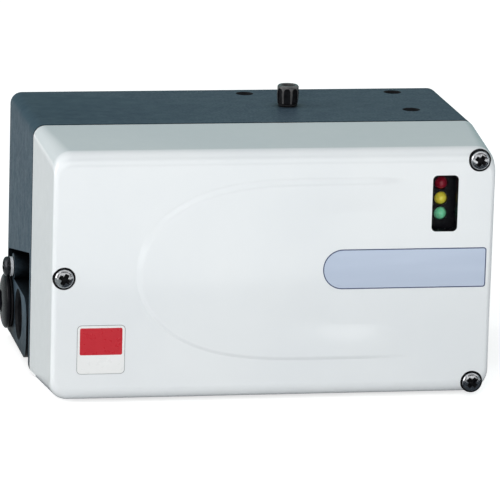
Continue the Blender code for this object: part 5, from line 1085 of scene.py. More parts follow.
def status_window():
    """Tinted pane with a soft edge, and the black liner of the opening."""
    pane = prism(window_outline(WINDOW_LEDGE), "Y", WINDOW_LOW.y, WINDOW_HIGH.y)
    soften(pane, 0.2, 2, 60.0)
    dress(pane, "window_pane_tinted", "window_pane", "status_window", body="cover_group")
    start = FRONT_Y + 0.15
    end = WINDOW_LOW.y - 0.1
    liner = prism(window_outline(-0.02), "Y", start, end)
    opening = [window_outline(margin, WINDOW_CORNER - 0.4) for margin in (-0.3, -0.5, -0.5)]
    cut(liner, lofted(opening, "Y", [start - 0.1, start + 0.6, end + OVERCUT]))
    dress(liner, "window_liner", "black_gloss", body="cover_group")


def lamp_tower():
    """Hollow tower that carries the lamps, and the domed lamps."""
    low, high = box("lamp_holder")
    radius = 2.5
    margin = WINDOW_LOW.x + WINDOW_LEDGE - low.x
    shelf = low.y + 7.2
    tower = prism(window_outline(margin), "Y", low.y, high.y)
    cut(tower, prism(window_outline(margin - 2.0), "Y", shelf, high.y + OVERCUT))
    for colour in ("red", "yellow", "green"):
        name = "lamp_" + colour
        lamp_low, lamp_high = box(name)
        place = centre_of(name, "Y")
        rim = lamp_high.y - 0.9
        bore = steps_from(low.y, (0.0, -OVERCUT), (3.1, -OVERCUT), (2.8, 0.3))
        bore += [(2.8, rim - GAP), (3.3, rim - GAP), (3.3, shelf + OVERCUT), (0.0, shelf + OVERCUT)]
        cut(tower, turned(bore, "Y", place))
        dome = [(radius * math.sin(t), lamp_low.y + radius * (1 - math.cos(t))) for t in quarter_turns(12)]
        dome[0] = (0.0, lamp_low.y)
        rest = [(radius, rim), (3.0, rim), (3.0, lamp_high.y), (0.0, lamp_high.y)]
        dress(turned(dome + rest, "Y", place), name + "_lens", colour + "_lens", name)
    soften(tower, 0.25, 2, 45.0)
    dress(tower, "lamp_tower", "black_gloss", "lamp_holder")


def foil(name, low, high, radii, lift, thickness, finish):
    """Thin plate on the cover's face, with a corner radius at its left and at its right end."""
    points = []
    for quadrant in range(4):
        radius = radii[quadrant in (0, 3)]
        x = high[0] - radius if quadrant in (0, 3) else low[0] + radius
        z = high[1] - radius if quadrant < 2 else low[1] + radius
        start = QUARTER_TURN * quadrant
        points += arc((x, z), radius, start, start + QUARTER_TURN, 14)
    made = prism(points, "Y", FRONT_Y - lift, FRONT_Y - lift + thickness)
    dress(made, name, finish, body="cover_group")


def bordered(low, high, border):
    """Corners moved in by a border."""
    return (low[0] + border, low[1] + border), (high[0] - border, high[1] - border)


def plates():
    """Bare name plate and bare square label, each with a printed border."""
    radii = (NAME_PLATE_CORNER - NAME_PLATE_BORDER, 0.8)
    foil("name_plate_border", *NAME_PLATE, (NAME_PLATE_CORNER, 1.2), 0.12, 0.2, "plate_ink")
    foil("name_plate_foil", *bordered(*NAME_PLATE, NAME_PLATE_BORDER), radii, 0.15, 0.2, "plate_foil")
    foil("label_border", *LABEL, (1.9, 1.9), 0.10, 0.15, "label_grey")
    foil("label_face", *bordered(*LABEL, LABEL_BORDER), (1.7, 1.7), 0.13, 0.15, "label_vinyl")
    low, high = bordered(*LABEL, LABEL_BAND_MARGIN)
    foil("label_band", (low[0], low[1] + LABEL_BAND_RISE), high, (0.7, 0.7), 0.15, 0.15, "label_red")


def refined(node, name, width, finish=None, body="base"):
    """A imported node's own form with flat neighbours merged and soft edges."""
    source = frame["nodes"][node]
    bm = bmesh.new()
    bm.from_mesh(source.data)
    bm.transform(source.matrix_world)
    bmesh.ops.remove_doubles(bm, verts=bm.verts, dist=0.001 * MM)
    bmesh.ops.dissolve_limit(bm, angle_limit=math.radians(1.0), verts=bm.verts, edges=bm.edges)
    mesh = source.data.copy()
    mesh.materials.clear()
    bm.to_mesh(mesh)
    bm.free()
    made = bpy.data.objects.new(name, mesh)
    bpy.context.scene.collection.objects.link(made)
    soften(made, width, 2, 35.0)
    dress(made, name, finish or SLOTS[node], node, body=body)


# Controls and board
BOARD_ARM_LOW = BOARD_HIGH.z - 31.0
BOARD_CORNER = 2.0
BOARD_HOLE = 1.7
BOARD_SCREW_SIZE = (1.45, 2.6, 1.6)
BOARD_SCREW_GRIP = 6.0
SHIELD_LOW, SHIELD_HIGH = box("board_shield")
SHIELD_WALL = 1.8
SHIELD_CORNER = 4.0
SHIELD_SOFT = 0.9
SHIELD_SEAT = 0.8
SHIELD_GROOVE = 0.35
SHIELD_TUBE = 3.3
CUTOUT_MARGIN = 1.2
BUTTON_HOLE = 3.8
PANEL_LOW = (SHIELD_LOW.x + 7.5, SHIELD_LOW.z + 25.5)
PANEL_HIGH = (SHIELD_LOW.x + 77.5, SHIELD_LOW.z + 63.5)
PANEL_DEPTH = 0.45
BUTTON_NAMES = ("quick_cal", "jog_up", "jog_down")
BUTTONS = [(name + "_button",) for name in BUTTON_NAMES]
TERMINAL_LOW, TERMINAL_HIGH = box("terminal_block")
TERMINAL_PITCH = 7.5
TERMINAL_STEP = 5.0
TERMINAL_HALF = 2.2
TERMINALS = [TERMINAL_LOW.x + 1.5 + TERMINAL_PITCH / 2 + way * TERMINAL_PITCH for way in range(5)]


def main_board():
    """L-shaped circuit board, drilled for the screws that hold it."""
    ends = (BOARD_LOW.y, BOARD_HIGH.y)
    tall = rounded_rectangle((BOARD_LOW.x, BOARD_LOW.z), (BOARD_BREAK_X, BOARD_HIGH.z), BOARD_CORNER)
    arm_low = (BOARD_BREAK_X - 4 * BOARD_CORNER, BOARD_ARM_LOW)
    board = prism(tall, "Y", *ends)
    join(board, prism(rounded_rectangle(arm_low, (BOARD_HIGH.x, BOARD_HIGH.z), BOARD_CORNER), "Y", *ends))
    for place in THROUGH_SCREWS:
        drilled(board, "Y", place, BOARD_HOLE, BOARD_LOW.y - OVERCUT, BOARD_HIGH.y + OVERCUT, SMALL_SIDES)
    soften(board, 0.12, 1, 40.0)
    dress(board, "main_board_etched", "circuit_board", "main_board")


PARTS = ("black_plastic", "bright_steel", "white_nylon", "machined_aluminium", "bronze", "label_vinyl")
PART_BODY, PART_METAL, PART_WHITE, PART_CAN, PART_BROWN, PART_MARK = range(6)


def part_block(centre, size, start, height, finish, edge=0.0):
    """Block of a size that stands on the board's front, from a start height to a height."""
    face = BOARD_LOW.y
    low = (centre[0] - size[0] / 2, face - height, centre[1] - size[1] / 2)
    made = block(low, (centre[0] + size[0] / 2, face - start, centre[1] + size[1] / 2))
    if edge:
        soften(made, edge, 2)
    return coated(made, finish, *PARTS)


def in_row(centre, count, pitch):
    """Places along a row that is centred on a place."""
    return [centre + (i - (count - 1) / 2) * pitch for i in range(count)]


def chip(centre, size, height, legs, pitch):
    """Flat black chip with a row of bent legs on two sides and a dimple."""
    made = [part_block(centre, size, 0.15, height, PART_BODY, 0.15)]
    dot = (centre[0] - size[0] / 2 + 0.9, centre[1] + size[1] / 2 - 0.9)
    top = BOARD_LOW.y - height
    made.append(coated(ring("Y", dot, 0.22, 0.40, top - 0.02, top, 0.005, 16), PART_MARK, *PARTS))
    for x in in_row(centre[0], legs, pitch):
        for side in (-1, 1):
            foot = centre[1] + side * (size[1] / 2 + 0.35)
            root = centre[1] + side * (size[1] / 2 + 0.1)
            made.append(part_block((x, foot), (0.4, 0.9), 0.02, 0.2, PART_METAL))
            made.append(part_block((x, root), (0.4, 0.2), 0.15, height / 2, PART_METAL))
    return made


def small_part(centre, size, height, upright=False):
    """Surface resistor or capacitor: a brown or black body with metal ends."""
    def turned_over(u, v):
        return (v, u) if upright else (u, v)

    finish = PART_BROWN if upright else PART_BODY
    made = [part_block(centre, turned_over(*size), 0.02, height, finish, 0.06)]
    for side in (-1, 1):
        shift = turned_over(side * (size[0] / 2 + 0.12), 0.0)
        place = (centre[0] + shift[0], centre[1] + shift[1])
        end = (size[1], 0.3) if upright else (0.3, size[1])
        made.append(part_block(place, end, 0.02, height, PART_METAL, 0.06))
    return made


def can(centre, radius, height):
    """Aluminium can capacitor with its base, rolled groove and scored top."""
    face = BOARD_LOW.y
    top = face - height
    made = [part_block(centre, (2.1 * radius, 2.1 * radius), 0.02, 1.0, PART_BODY, 0.2)]
    profile = steps_from(top, (0.0, 0.0), (radius - 0.5, 0.0), (radius, 0.5))
    profile += steps_from(face, (radius, -2.4), (radius - 0.3, -2.0), (radius, -1.6), (radius, -0.9))
    profile.append((0.0, face - 0.9))
    made.append(coated(turned(profile, "Y", centre, 40), PART_CAN, *PARTS))
    mark = prism(arc(centre, radius * 0.86, 0.35, math.pi - 0.35, 16), "Y", top - 0.03, top + 0.1)
    made.append(coated(mark, PART_BODY, *PARTS))
    return made


def header(centre, ways, pitch):
    """White plug connector with its pins."""
    width, depth = ways * pitch + 2.4, 5.4
    height = 6.0
    wall = 0.8
    shell = part_block(centre, (width, depth), 0.02, height, PART_WHITE)
    inside = (width - 2 * wall, depth - 2 * wall)
    cut(shell, part_block(centre, inside, 1.2, height + OVERCUT, PART_WHITE))
    key = (centre[0], centre[1] + depth / 2)
    cut(shell, part_block(key, (pitch, 4 * wall), 2.4, height + OVERCUT, PART_WHITE))
    soften(shell, 0.12, 2)
    pins = in_row(centre[0], ways, pitch)
    return [shell] + [part_block((x, centre[1]), (0.6, 0.6), 1.0, height - 1.4, PART_METAL, 0.1) for x in pins]


def board_parts():
    """Components on the arm of the board, beside the lamps."""
    left, low, high = BOARD_BREAK_X, BOARD_ARM_LOW, BOARD_HIGH.z
    made = chip((left + 10.0, high - 8.0), (10.5, 6.2), 1.7, 8, 1.27)
    made += chip((left + 7.0, low + 8.0), (6.2, 4.6), 1.4, 7, 0.8)
    made += can((left + 22.0, high - 5.5), 3.1, 6.2)
    made += can((left + 22.0, high - 13.5), 3.1, 6.2)
    made += header((left + 20.0, low + 5.0), 4, 2.5)
    for i in range(5):
        made += small_part((left + 3.6 + 2.7 * i, low + 15.0), (1.6, 0.9), 0.5, True)
    for i in range(3):
        made += small_part((left + 2.6, high - 6.5 + 1.9 * i), (1.6, 0.9), 0.5)
    for i in range(2):
        made += small_part((left + 15.0 + 3.0 * i, low + 12.0), (1.7, 1.0), 0.7)
    dress(merged("board_parts", made), "board_parts", PARTS)


def shield_openings(nodes, margin, start, end):
    """Cutters for the shield's openings round some nodes, grown by a margin; a button's is round."""
    made = []
    for node in nodes:
        low, high = box(node)
        corners = bordered((low.x, low.z), (high.x, high.z), -margin)
        if node.endswith("_button"):
            radius = BUTTON_HOLE + margin - CUTOUT_MARGIN
            made.append(rod("Y", centre_of(node, "Y"), radius, start, end))
        else:
            made.append(prism(rounded_rectangle(*corners, min(margin, 1.6), 5), "Y", start, end))
    return made


def board_shield():
    """Moulded tray over the board with soft edges, grooves, a sunk panel and screw seats."""
    front, seat = SHIELD_LOW.y, SHIELD_HIGH.y
    outside = front - OVERCUT
    corners = ((SHIELD_LOW.x, SHIELD_LOW.z), (SHIELD_HIGH.x, SHIELD_HIGH.z))
    stations = quarter(SHIELD_SOFT, 4) + [(0.0, seat - front)]

    def outline(inset):
        return rounded_rectangle(*bordered(*corners, inset), SHIELD_CORNER - inset)

    body = lofted([outline(inset) for inset, depth in stations], "Y", [front + depth for inset, depth in stations])
    cut(body, prism(outline(SHIELD_WALL), "Y", front + SHIELD_WALL, seat + OVERCUT))
    screws = THROUGH_SCREWS + [SHORT_SCREW]
    for place in screws:
        join(body, rod("Y", place, SHIELD_TUBE, front + SHIELD_WALL / 2, seat, SMALL_SIDES))
    for nodes in (("terminal_block", "dip_switch_body", "gain_selector_body"), *BUTTONS):
        wide = shield_openings(nodes, CUTOUT_MARGIN + 1.8, outside, front + SHIELD_GROOVE)
        narrow = shield_openings(nodes, CUTOUT_MARGIN + 1.0, outside - OVERCUT, front + OVERCUT)
        for outer, inner in zip(wide, narrow):
            cut(body, cut(outer, inner))
        cut(body, *shield_openings(nodes, CUTOUT_MARGIN, outside, front + SHIELD_WALL + OVERCUT))
    for place in screws:
        drilled(body, "Y", place, BOARD_SCREW_SIZE[1] + 0.35, outside, front + SHIELD_SEAT)
        drilled(body, "Y", place, BOARD_HOLE, outside, seat + OVERCUT, SMALL_SIDES)
    cut(body, prism(rounded_rectangle(PANEL_LOW, PANEL_HIGH, 2.0), "Y", outside, front + PANEL_DEPTH))
    soften(body, 0.15, 2, 40.0)
    dress(body, "shield_moulded", "black_plastic", "board_shield")
    for i, place in enumerate(screws):
        tip = BOARD_LOW.y - 0.6 if place == SHORT_SCREW else BOARD_HIGH.y + BOARD_SCREW_GRIP
        screw = pan_head_screw("Y", place, BOARD_SCREW_SIZE, front + SHIELD_SEAT, tip, 0.5, 0.3 + 0.5 * i)
        dress(screw, f"board_screw_{i + 1}", METAL, slot="bright_steel")


def printed(outlines, name, face, finish):
    """Thin printed pieces, given by outline, on a face that looks forward."""
    made = [prism(outline, "Y", face - 0.03, face + 0.05) for outline in outlines]
    dress(merged(name, made), name, finish)


def shield_label():
    """Bare wiring label with a line drawing: a line and a ring for each terminal."""
    face = SHIELD_LOW.y + PANEL_DEPTH
    low, high = bordered(PANEL_LOW, PANEL_HIGH, 1.0)
    top = face - 0.15
    dress(prism(rounded_rectangle(low, high, 1.4), "Y", top, face), "shield_label", "label_vinyl")
    line = 0.22
    drawn = []
    for i, x in enumerate(TERMINALS):
        rise = high[1] - 7.0 - 3.4 * (i % 3)
        drawn.append(bar((x - line, low[1] + 5.5), (x + line, rise)))
        if i % 2 == 0:
            drawn.append(bar((x - line, rise - line), (x + TERMINAL_PITCH + line, rise + line)))
    x0, z0, x1, z1 = low[0] + 44.0, low[1] + 6.0, high[0] - 4.0, high[1] - 6.0
    thick, clear = 2 * line, 2.5 * line
    drawn += [bar((x0, z0), (x1, z0 + thick)), bar((x0, z1 - thick), (x1, z1))]
    drawn += [bar((x, z0 + clear), (x + thick, z1 - clear)) for x in (x0, x1 - thick)]
    drawn += [bar((x0 + 3.0, z), (x1 - 3.0, z + thick)) for z in (z0 + 5.0 + 5.5 * i for i in range(3))]
    printed(drawn, "shield_label_lines", top, "label_grey")
    rings = [ring("Y", (x, low[1] + 4.0), 0.9, 1.3, top - 0.03, top + 0.05, 0.01, 24) for x in TERMINALS]
    dress(merged("shield_label_rings", rings), "shield_label_rings", "label_grey")


def slab(centre, half, depths, z_half):
    """Block about a centre seen from the front, between two depths."""
    low = (centre[0] - half, depths[0], centre[1] - z_half)
    return block(low, (centre[0] + half, depths[1], centre[1] + z_half))


def terminal_strip():
    """Stepped terminal strip with its screws and wire clamps."""
    front, rear = TERMINAL_LOW.y, TERMINAL_HIGH.y
    step_y = front + TERMINAL_STEP
    z0, z1 = TERMINAL_LOW.z, TERMINAL_HIGH.z
    outline = [(rear, z0), (rear, z1), (front, z1), (front, z0 + TERMINAL_STEP + TERMINAL_HALF)]
    outline += [(step_y, z0 + TERMINAL_HALF), (step_y, z0)]
    body = prism(outline, "X", TERMINAL_LOW.x, TERMINAL_HIGH.x)
    entry_y = (step_y + rear) / 2
    screw_z = z1 - TERMINAL_STEP / 2 - TERMINAL_HALF / 2
    top = front + 2.2
    metal = []

    def entry(x, half, low, high):
        return block((x - half, entry_y - half, low), (x + half, entry_y + half, high))

    for x in TERMINALS:
        drilled(body, "Y", (x, screw_z), TERMINAL_HALF, front - OVERCUT, step_y, SMALL_SIDES)
        cut(body, entry(x, TERMINAL_HALF, z0 - OVERCUT, z0 + 7.0))
        profile = steps_from(top, (0.0, 0.0), (1.6, 0.0), (2.0, 0.35))
        profile += steps_from(step_y, (2.0, -0.1), (0.0, -0.1))
        screw = coated(turned(profile, "Y", (x, screw_z), 36), 0, *METAL)
        slot = slab((0.0, 0.0), 3.0, (top - OVERCUT, top + 0.9), 0.3)
        moved(slot, (x, 0.0, screw_z), 8.0 * x / TERMINAL_PITCH)
        metal.append(cut(screw, coated(slot, 1, *METAL)))
        cage = entry(x, TERMINAL_HALF - 0.2, z0 + 0.6, z0 + 6.6)
        cut(cage, entry(x, TERMINAL_HALF - 0.7, z0 - OVERCUT, z0 + 6.0))
        metal.append(coated(soften(cage, 0.08, 1), 0, *METAL))
    for x in TERMINALS[:-1]:
        rib = x + TERMINAL_PITCH / 2
        cut(body, block((rib - 0.35, front - OVERCUT, z0 - OVERCUT), (rib + 0.35, front + 0.6, z1 + OVERCUT)))
    soften(body, 0.2, 2, 40.0)
    dress(body, "terminal_strip", "terminal_plastic", "terminal_block")
    dress(merged("terminal_metal", metal), "terminal_metal", METAL, slot="bright_steel")


def setting_switches():
    """Row of six small slide switches with printed marks."""
    low, high = box("dip_switch_body")
    middle = (low.z + high.z) / 2
    body = block(low, high)
    marks = []
    for number in range(1, 7):
        x = centre_of(f"dip_slider_{number}", "Y")[0]
        cut(body, slab((x, middle), 0.75, (low.y - OVERCUT, low.y + 2.2), 2.1))
        marks.append(bar((x - 0.12, high.z - 1.5), (x + 0.12, high.z - 0.6)))
        refined(f"dip_slider_{number}", f"dip_knob_{number}", 0.14, body=f"slider_{number}")
    marks.append(bar((low.x + 0.6, low.z + 0.6), (high.x - 0.6, low.z + 0.9)))
    soften(body, 0.15, 2, 40.0)
    dress(body, "dip_housing", "switch_plastic", "dip_switch_body")
    printed(marks, "dip_marks", low.y, "label_vinyl")


def gain_switch():
    """Square rotary switch with a slotted dial and a ring of printed dots."""
    low, high = box("gain_selector_body")
    place = centre_of("gain_selector_body", "Y")
    dial_low, dial_high = box("gain_selector_rotor")
    body = prism(rounded_rectangle((low.x, low.z), (high.x, high.z), 0.8, 4), "Y", low.y, high.y)
    drilled(body, "Y", place, 3.9, low.y - OVERCUT, low.y + 3.0, FINE_SIDES)
    soften(body, 0.15, 2, 40.0)
    dress(body, "gain_housing", "switch_plastic", "gain_selector_body")
    printed([circle(dot, 0.2, 10) for dot in circle(place, 4.35, 16)], "gain_marks", low.y, "label_vinyl")
    tip = dial_low.y
    radius = 3.6
    profile = [(0.0, tip), (radius - 0.5, tip), (radius, tip + 0.5), (radius, dial_high.y), (0.0, dial_high.y)]
    dial = coated(turned(profile, "Y", place, FINE_SIDES), 0, *DIAL_COAT)
    slot = slab(place, 0.5, (tip - OVERCUT, tip + 0.8), radius + OVERCUT)
    top = place[1] + radius
    arrow = [(place[0] - 1.1, top), (place[0] + 1.1, top), (place[0], top - 1.8)]
    arrow = prism(arrow, "Y", tip - OVERCUT, tip + 0.4)
    cut(dial, coated(slot, 1, *DIAL_COAT), coated(arrow, 1, *DIAL_COAT))
    soften(dial, 0.1, 2, 40.0)
    dress(dial, "gain_dial", DIAL_COAT, "gain_selector_rotor", body="gain_rotor")


def push_buttons():
    """Dished button caps over their switches."""
    for name in BUTTON_NAMES:
        refined(name + "_switch", name + "_switch_body", 0.15)
        low, high = box(name + "_button")
        heel = box(name + "_switch")[0].y - 0.8
        dish = ((0.0, 0.30), (1.2, 0.26), (2.1, 0.12), (2.6, 0.0), (2.9, 0.0), (3.2, 0.3))
        profile = steps_from(low.y, *dish) + [(3.2, heel), (1.7, heel), (1.7, high.y), (0.0, high.y)]
        cap = turned(profile, "Y", centre_of(name + "_button", "Y"), 56)
        dress(cap, name + "_cap", "white_nylon", name + "_button", body=name, crease=30.0)


def socket_screw(axis, centre, seat, radius, height, way):
    """Head of a socket screw that stands on a seat; way is +1 or -1 along the axis."""
    top = seat + way * height
    edge = 0.2
    profile = [(0.0, seat), (radius, seat), (radius, top - way * edge), (radius - edge, top), (0.0, top)]
    screw = coated(turned(profile, axis, centre, 32), 0, *BLACKED)
    start, end = sorted((top + way * OVERCUT, top - way * height * 0.6))
    return cut(screw, coated(prism(hexagon(centre, radius * 1.05), axis, start, end), 1, *BLACKED))


def air_block():
    """Drilled manifold with plugged passages."""
    low, high = box("air_manifold")
    made = prism(rounded_rectangle((low.x, low.y), (high.x, high.y), 1.0, 1), "Z", low.z, high.z)
    for place in PORTS:
        drilled(made, "X", place, PORT_PASSAGE, high.x - 12.0, high.x + OVERCUT)
    middle = (low.x + high.x) / 2
    plugs = []
    for x in (middle - 7.0, middle + 7.0):
        drilled(made, "Z", (x, PORT_Y), 2.2, high.z - 1.2, high.z + OVERCUT)
        drilled(made, "Z", (x, PORT_Y), 2.2, low.z - OVERCUT, low.z + 1.2)
        plugs.append(socket_screw("Z", (x, PORT_Y), high.z - 1.2, 2.0, 1.0, 1.0))
        plugs.append(socket_screw("Z", (x, PORT_Y), low.z + 1.2, 2.0, 1.0, -1.0))
    soften(made, 0.35, 2, 30.0)
    dress(made, "manifold_block", "machined_aluminium", "air_manifold")
    dress(merged("manifold_plugs", plugs), "manifold_plugs", BLACKED)


def bolted(target, axis, low, high, face, height, way):
    """Sink a bolt head at each corner of a face; way is +1 or -1, out of the face."""
    seat = face - way * (2.2 if axis == "Y" else 2.0)
    heads = []
    for u in (low[0], high[0]):
        for v in (low[1], high[1]):
            drilled(target, axis, (u, v), 2.1, *sorted((seat, face + way * OVERCUT)), 32)
            heads.append(socket_screw(axis, (u, v), seat, 1.9, height, way))
    return heads


def spool_valve():
    """Milled valve body with its bore, bolts, spool and end cap."""
    centre = centre_of("valve_spool", "Z")
    low, high = box("spool_valve_body")
    body = block(low, high)
    drilled(body, "Z", centre, 4.2, low.z + 3.0, high.z + OVERCUT)
    heads = bolted(body, "Y", *bordered((low.x, low.z), (high.x, high.z), 3.2), low.y, 2.0, -1.0)
    for z in (low.z + 13.0, high.z - 13.0):
        cut(body, block((low.x - OVERCUT, low.y - OVERCUT, z - 0.4), (high.x + OVERCUT, low.y + 0.5, z + 0.4)))
    soften(body, 0.35, 2, 40.0)
    dress(body, "valve_block", "machined_aluminium", "spool_valve_body")
    dress(merged("valve_bolts", heads), "valve_bolts", BLACKED)

    low, high = box("valve_spool")
    span = (high.z - low.z) / 5
    radius, neck, edge = 3.8, 2.4, 0.2
    profile = [(0.0, low.z)]
    for land in range(3):
        start = low.z + 2 * land * span
        end = start + span
        profile += [(radius - edge, start), (radius, start + edge), (radius, end - edge), (radius - edge, end)]
        if land < 2:
            profile += [(neck, end), (neck, end + span)]
    profile.append((0.0, high.z))
    dress(turned(profile, "Z", centre, FINE_SIDES), "spool_ground", "bright_steel", "valve_spool", body="spool")

    low, high = box("spool_end_cap")
    cap = prism(rounded_rectangle((low.x, low.y), (high.x, high.y), 2.0), "Z", low.z, high.z)
    bolts = bolted(cap, "Z", *bordered((low.x, low.y), (high.x, high.y), 3.4), high.z, 1.8, 1.0)
    soften(cap, 0.4, 3, 40.0)
    dress(cap, "valve_cap", "black_plastic", "spool_end_cap")
    dress(merged("valve_cap_bolts", bolts), "valve_cap_bolts", BLACKED)


def converter():
    """Round converter with a ribbed case, a flange and two terminal pins."""
    low, high = box("pressure_converter")
    place = centre_of("pressure_converter", "Y")
    step_y = low.y + 3.0
    case = 10.5
    profile = steps_from(low.y, (0.0, 0.0), (5.6, 0.0), (6.0, 0.4), (6.0, 3.0), (case - 0.8, 3.0), (case, 3.8))
    for i in range(4):
        y = step_y + 3.0 + 3.2 * i
        profile += steps_from(y, (case, 0.0), (case - 0.5, 0.3), (case - 0.5, 1.0), (case, 1.3))
    profile += steps_from(high.y, (case, -3.0), (12.0, -3.0), (12.0, 0.0), (0.0, 0.0))
    body = turned(profile, "Y", place, FINE_SIDES)
    pins = []
    for side in (-1, 1):
        pin = (place[0] + side * 2.6, place[1])
        drilled(body, "Y", pin, 1.2, low.y - OVERCUT, low.y + 1.6, 24)
        pins.append(soften(rod("Y", pin, 0.5, low.y + 0.2, low.y + 1.8, 16), 0.1))
    soften(body, 0.2, 2, 40.0)
    dress(body, "converter_case", "black_plastic", "pressure_converter")
    dress(merged("converter_pins", pins), "converter_pins", "bronze")


def regulator():
    """Turned regulator with a flanged body, lock nut and slotted adjusting screw."""
    low, high = box("pressure_regulator")
    place = centre_of("pressure_regulator", "X")
    face = low.x + 0.6
    neck = low.x + 3.3
    radius = 8.0
    profile = [(0.0, face), (3.0, face), (3.0, neck), (radius - 0.8, neck), (radius, neck + 0.8)]
    profile += steps_from(high.x, (radius, -2.0), (radius - 0.5, -1.6), (radius - 0.5, 0.0), (0.0, 0.0))
    body = turned(profile, "X", place, FINE_SIDES)
    join(body, prism(hexagon(place, 8.4), "X", neck - 2.6, neck + 0.1))
    join(body, rod("X", place, 2.0, low.x, low.x + OVERCUT, SMALL_SIDES))
    cut(body, block((low.x - OVERCUT, place[0] - 0.3, place[1] - 3.0), (face, place[0] + 0.3, place[1] + 3.0)))
    soften(body, 0.15, 2, 35.0)
    dress(body, "regulator_turned", "machined_aluminium", "pressure_regulator")


def pressure_board():
    """Small board with two pressure cans, each with a vent hole."""
    low, high = box("pressure_sensor_board")
    start = high.x - 1.4
    finishes = ("circuit_board", "bright_steel", "recess_shadow")
    outline = rounded_rectangle((low.y, low.z), (high.y, high.z), 1.0, 5)
    made = [coated(soften(prism(outline, "X", start, high.x), 0.1, 1, 40.0), 0, *finishes)]
    for place in PORTS[1:]:
        profile = steps_from(low.x, (0.0, 0.0), (3.1, 0.0), (3.5, 0.4))
        profile += steps_from(start, (3.5, -0.7), (4.0, -0.5), (4.0, 0.1), (0.0, 0.1))
        shell = coated(turned(profile, "X", place), 1, *finishes)
        vent = rod("X", place, 0.7, low.x - OVERCUT, low.x + 1.0, 20)
        made.append(cut(shell, coated(vent, 2, *finishes)))
    dress(merged("pressure_board", made), "pressure_board", finishes, "pressure_sensor_board")


def port_screens():
    """Woven wire screens at the bottom of the air ports."""
    pitch = 1.2
    wire = 0.22
    for name in PORT_NAMES:
        low, high = box(name)
        y, z = centre_of(name, "X")
        radius = (high.y - low.y) / 2
        middle = (low.x + high.x) / 2
        rim = radius - 0.9
        pieces = [ring("X", (y, z), rim, radius, low.x, high.x)]
        count = int(rim / pitch)
        for offset in in_row(0.0, 2 * count + 1, pitch):
            half = math.sqrt(rim ** 2 - offset ** 2) + 0.2
            pieces.append(rod("Z", (middle - wire * 0.8, y + offset), wire, z - half, z + half, 8))
            pieces.append(rod("Y", (middle + wire * 0.8, z + offset), wire, y - half, y + half, 8))
        dress(merged(name, pieces), name + "_woven", "wire_mesh", name)


def feedback_shaft():
    """Shaft with its ring groove, collar, thread and two flats."""
    low, high = box("feedback_shaft")
    ring_low, ring_high = box("shaft_retaining_ring")
    collar = box("shaft_lock_washer")[0].y - GAP
    tip = high.y
    full = SHAFT_RADIUS
    groove = 3.3
    core = full - 0.45
    profile = steps_from(low.y, (0.0, 0.0), (full - 0.5, 0.0), (full, 0.5))
    profile += steps_from(ring_low.y, (full, -GAP), (groove, -GAP))
    profile += steps_from(ring_high.y, (groove, GAP), (full, GAP))
    profile += steps_from(collar, (full, -2.6), (6.7, -2.6), (7.0, -2.3), (7.0, -0.3), (6.7, 0.0), (full, 0.0))
    profile += steps_from(collar, (full, 0.9), (core, 1.2))
    profile += steps_from(tip, (core, -1.0), (core - 0.7, 0.0), (1.0, 0.0), (0.0, -0.8))
    shaft = turned(profile, "Y", SHAFT, FINE_SIDES)
    ridge = thread("Y", SHAFT, core, TAPPED_PITCH, collar + 1.8, tip - 1.0, full - core, False, 48)
    for side in (-1, 1):
        near, far = sorted((SHAFT[0] + side * 3.1, SHAFT[0] + side * 9.0))
        for made in (shaft, ridge):
            cut(made, block((near, collar + GAP, SHAFT[1] - 6.0), (far, tip + OVERCUT, SHAFT[1] + 6.0)))
    whole = merged("shaft_turned", [shaft, ridge])
    dress(whole, "shaft_turned", "bright_steel", "feedback_shaft", body="shaft_group", crease=30.0)


def shaft_fittings():
    """Retaining ring, split lock washer and nut that turn with the shaft."""
    low, high = box("shaft_retaining_ring")
    snap = ring("Y", SHAFT, 3.6, 6.8, low.y, high.y)
    mouth = (SHAFT[0] - 2.5, low.y - OVERCUT, SHAFT[1] - 9.0)
    cut(snap, block(mouth, (SHAFT[0] + 2.5, high.y + OVERCUT, SHAFT[1])))
    dress(snap, "retaining_ring", "bright_steel", "shaft_retaining_ring", body="shaft_group")

    low, high = box("shaft_lock_washer")
    washer = ring("Y", SHAFT, SHAFT_RADIUS + GAP, 6.4, low.y, high.y)
    half = (high.y - low.y) / 2 + 3 * OVERCUT
    slit = moved(block((-0.35, -half, 2.0), (0.35, half, 9.0)), (0.0, (low.y + high.y) / 2, 0.0), 0.45, "Z")
    cut(washer, moved(slit, (SHAFT[0], 0.0, SHAFT[1]), 0.8))
    dress(washer, "lock_washer_split", "bright_steel", "shaft_lock_washer", body="shaft_group")

    low, high = box("shaft_nut")
    flats = 10.0
    corner = flats / (2 * math.cos(math.pi / 6))
    chamfer = 0.4
    drop = (corner - flats / 2) * 0.55
    nut = prism(hexagon(SHAFT, flats), "Y", low.y, high.y)
    trim = [(0.0, low.y), (flats / 2, low.y), (corner, low.y + drop)]
    trim += [(corner, high.y - drop), (flats / 2, high.y), (0.0, high.y)]
    keep_inside(nut, turned(trim, "Y", SHAFT, FINE_SIDES))
    hole = SHAFT_RADIUS + GAP
    for face, out in ((low.y, -1.0), (high.y, 1.0)):
        outside, inside = face + out * OVERCUT, face - out * chamfer
        mouth = [(0.0, outside), (hole + chamfer + OVERCUT, outside), (hole, inside), (0.0, inside)]
        cut(nut, turned(mouth, "Y", SHAFT, FINE_SIDES))
    drilled(nut, "Y", SHAFT, hole, low.y - OVERCUT, high.y + OVERCUT, FINE_SIDES)
    soften(nut, 0.12, 2, 40.0)
    dress(nut, "shaft_nut_chamfered", "bright_steel", "shaft_nut", body="shaft_group", crease=30.0)


def shaft_parts():
    """Feedback shaft and what turns with it."""
    feedback_shaft()
    shaft_fittings()


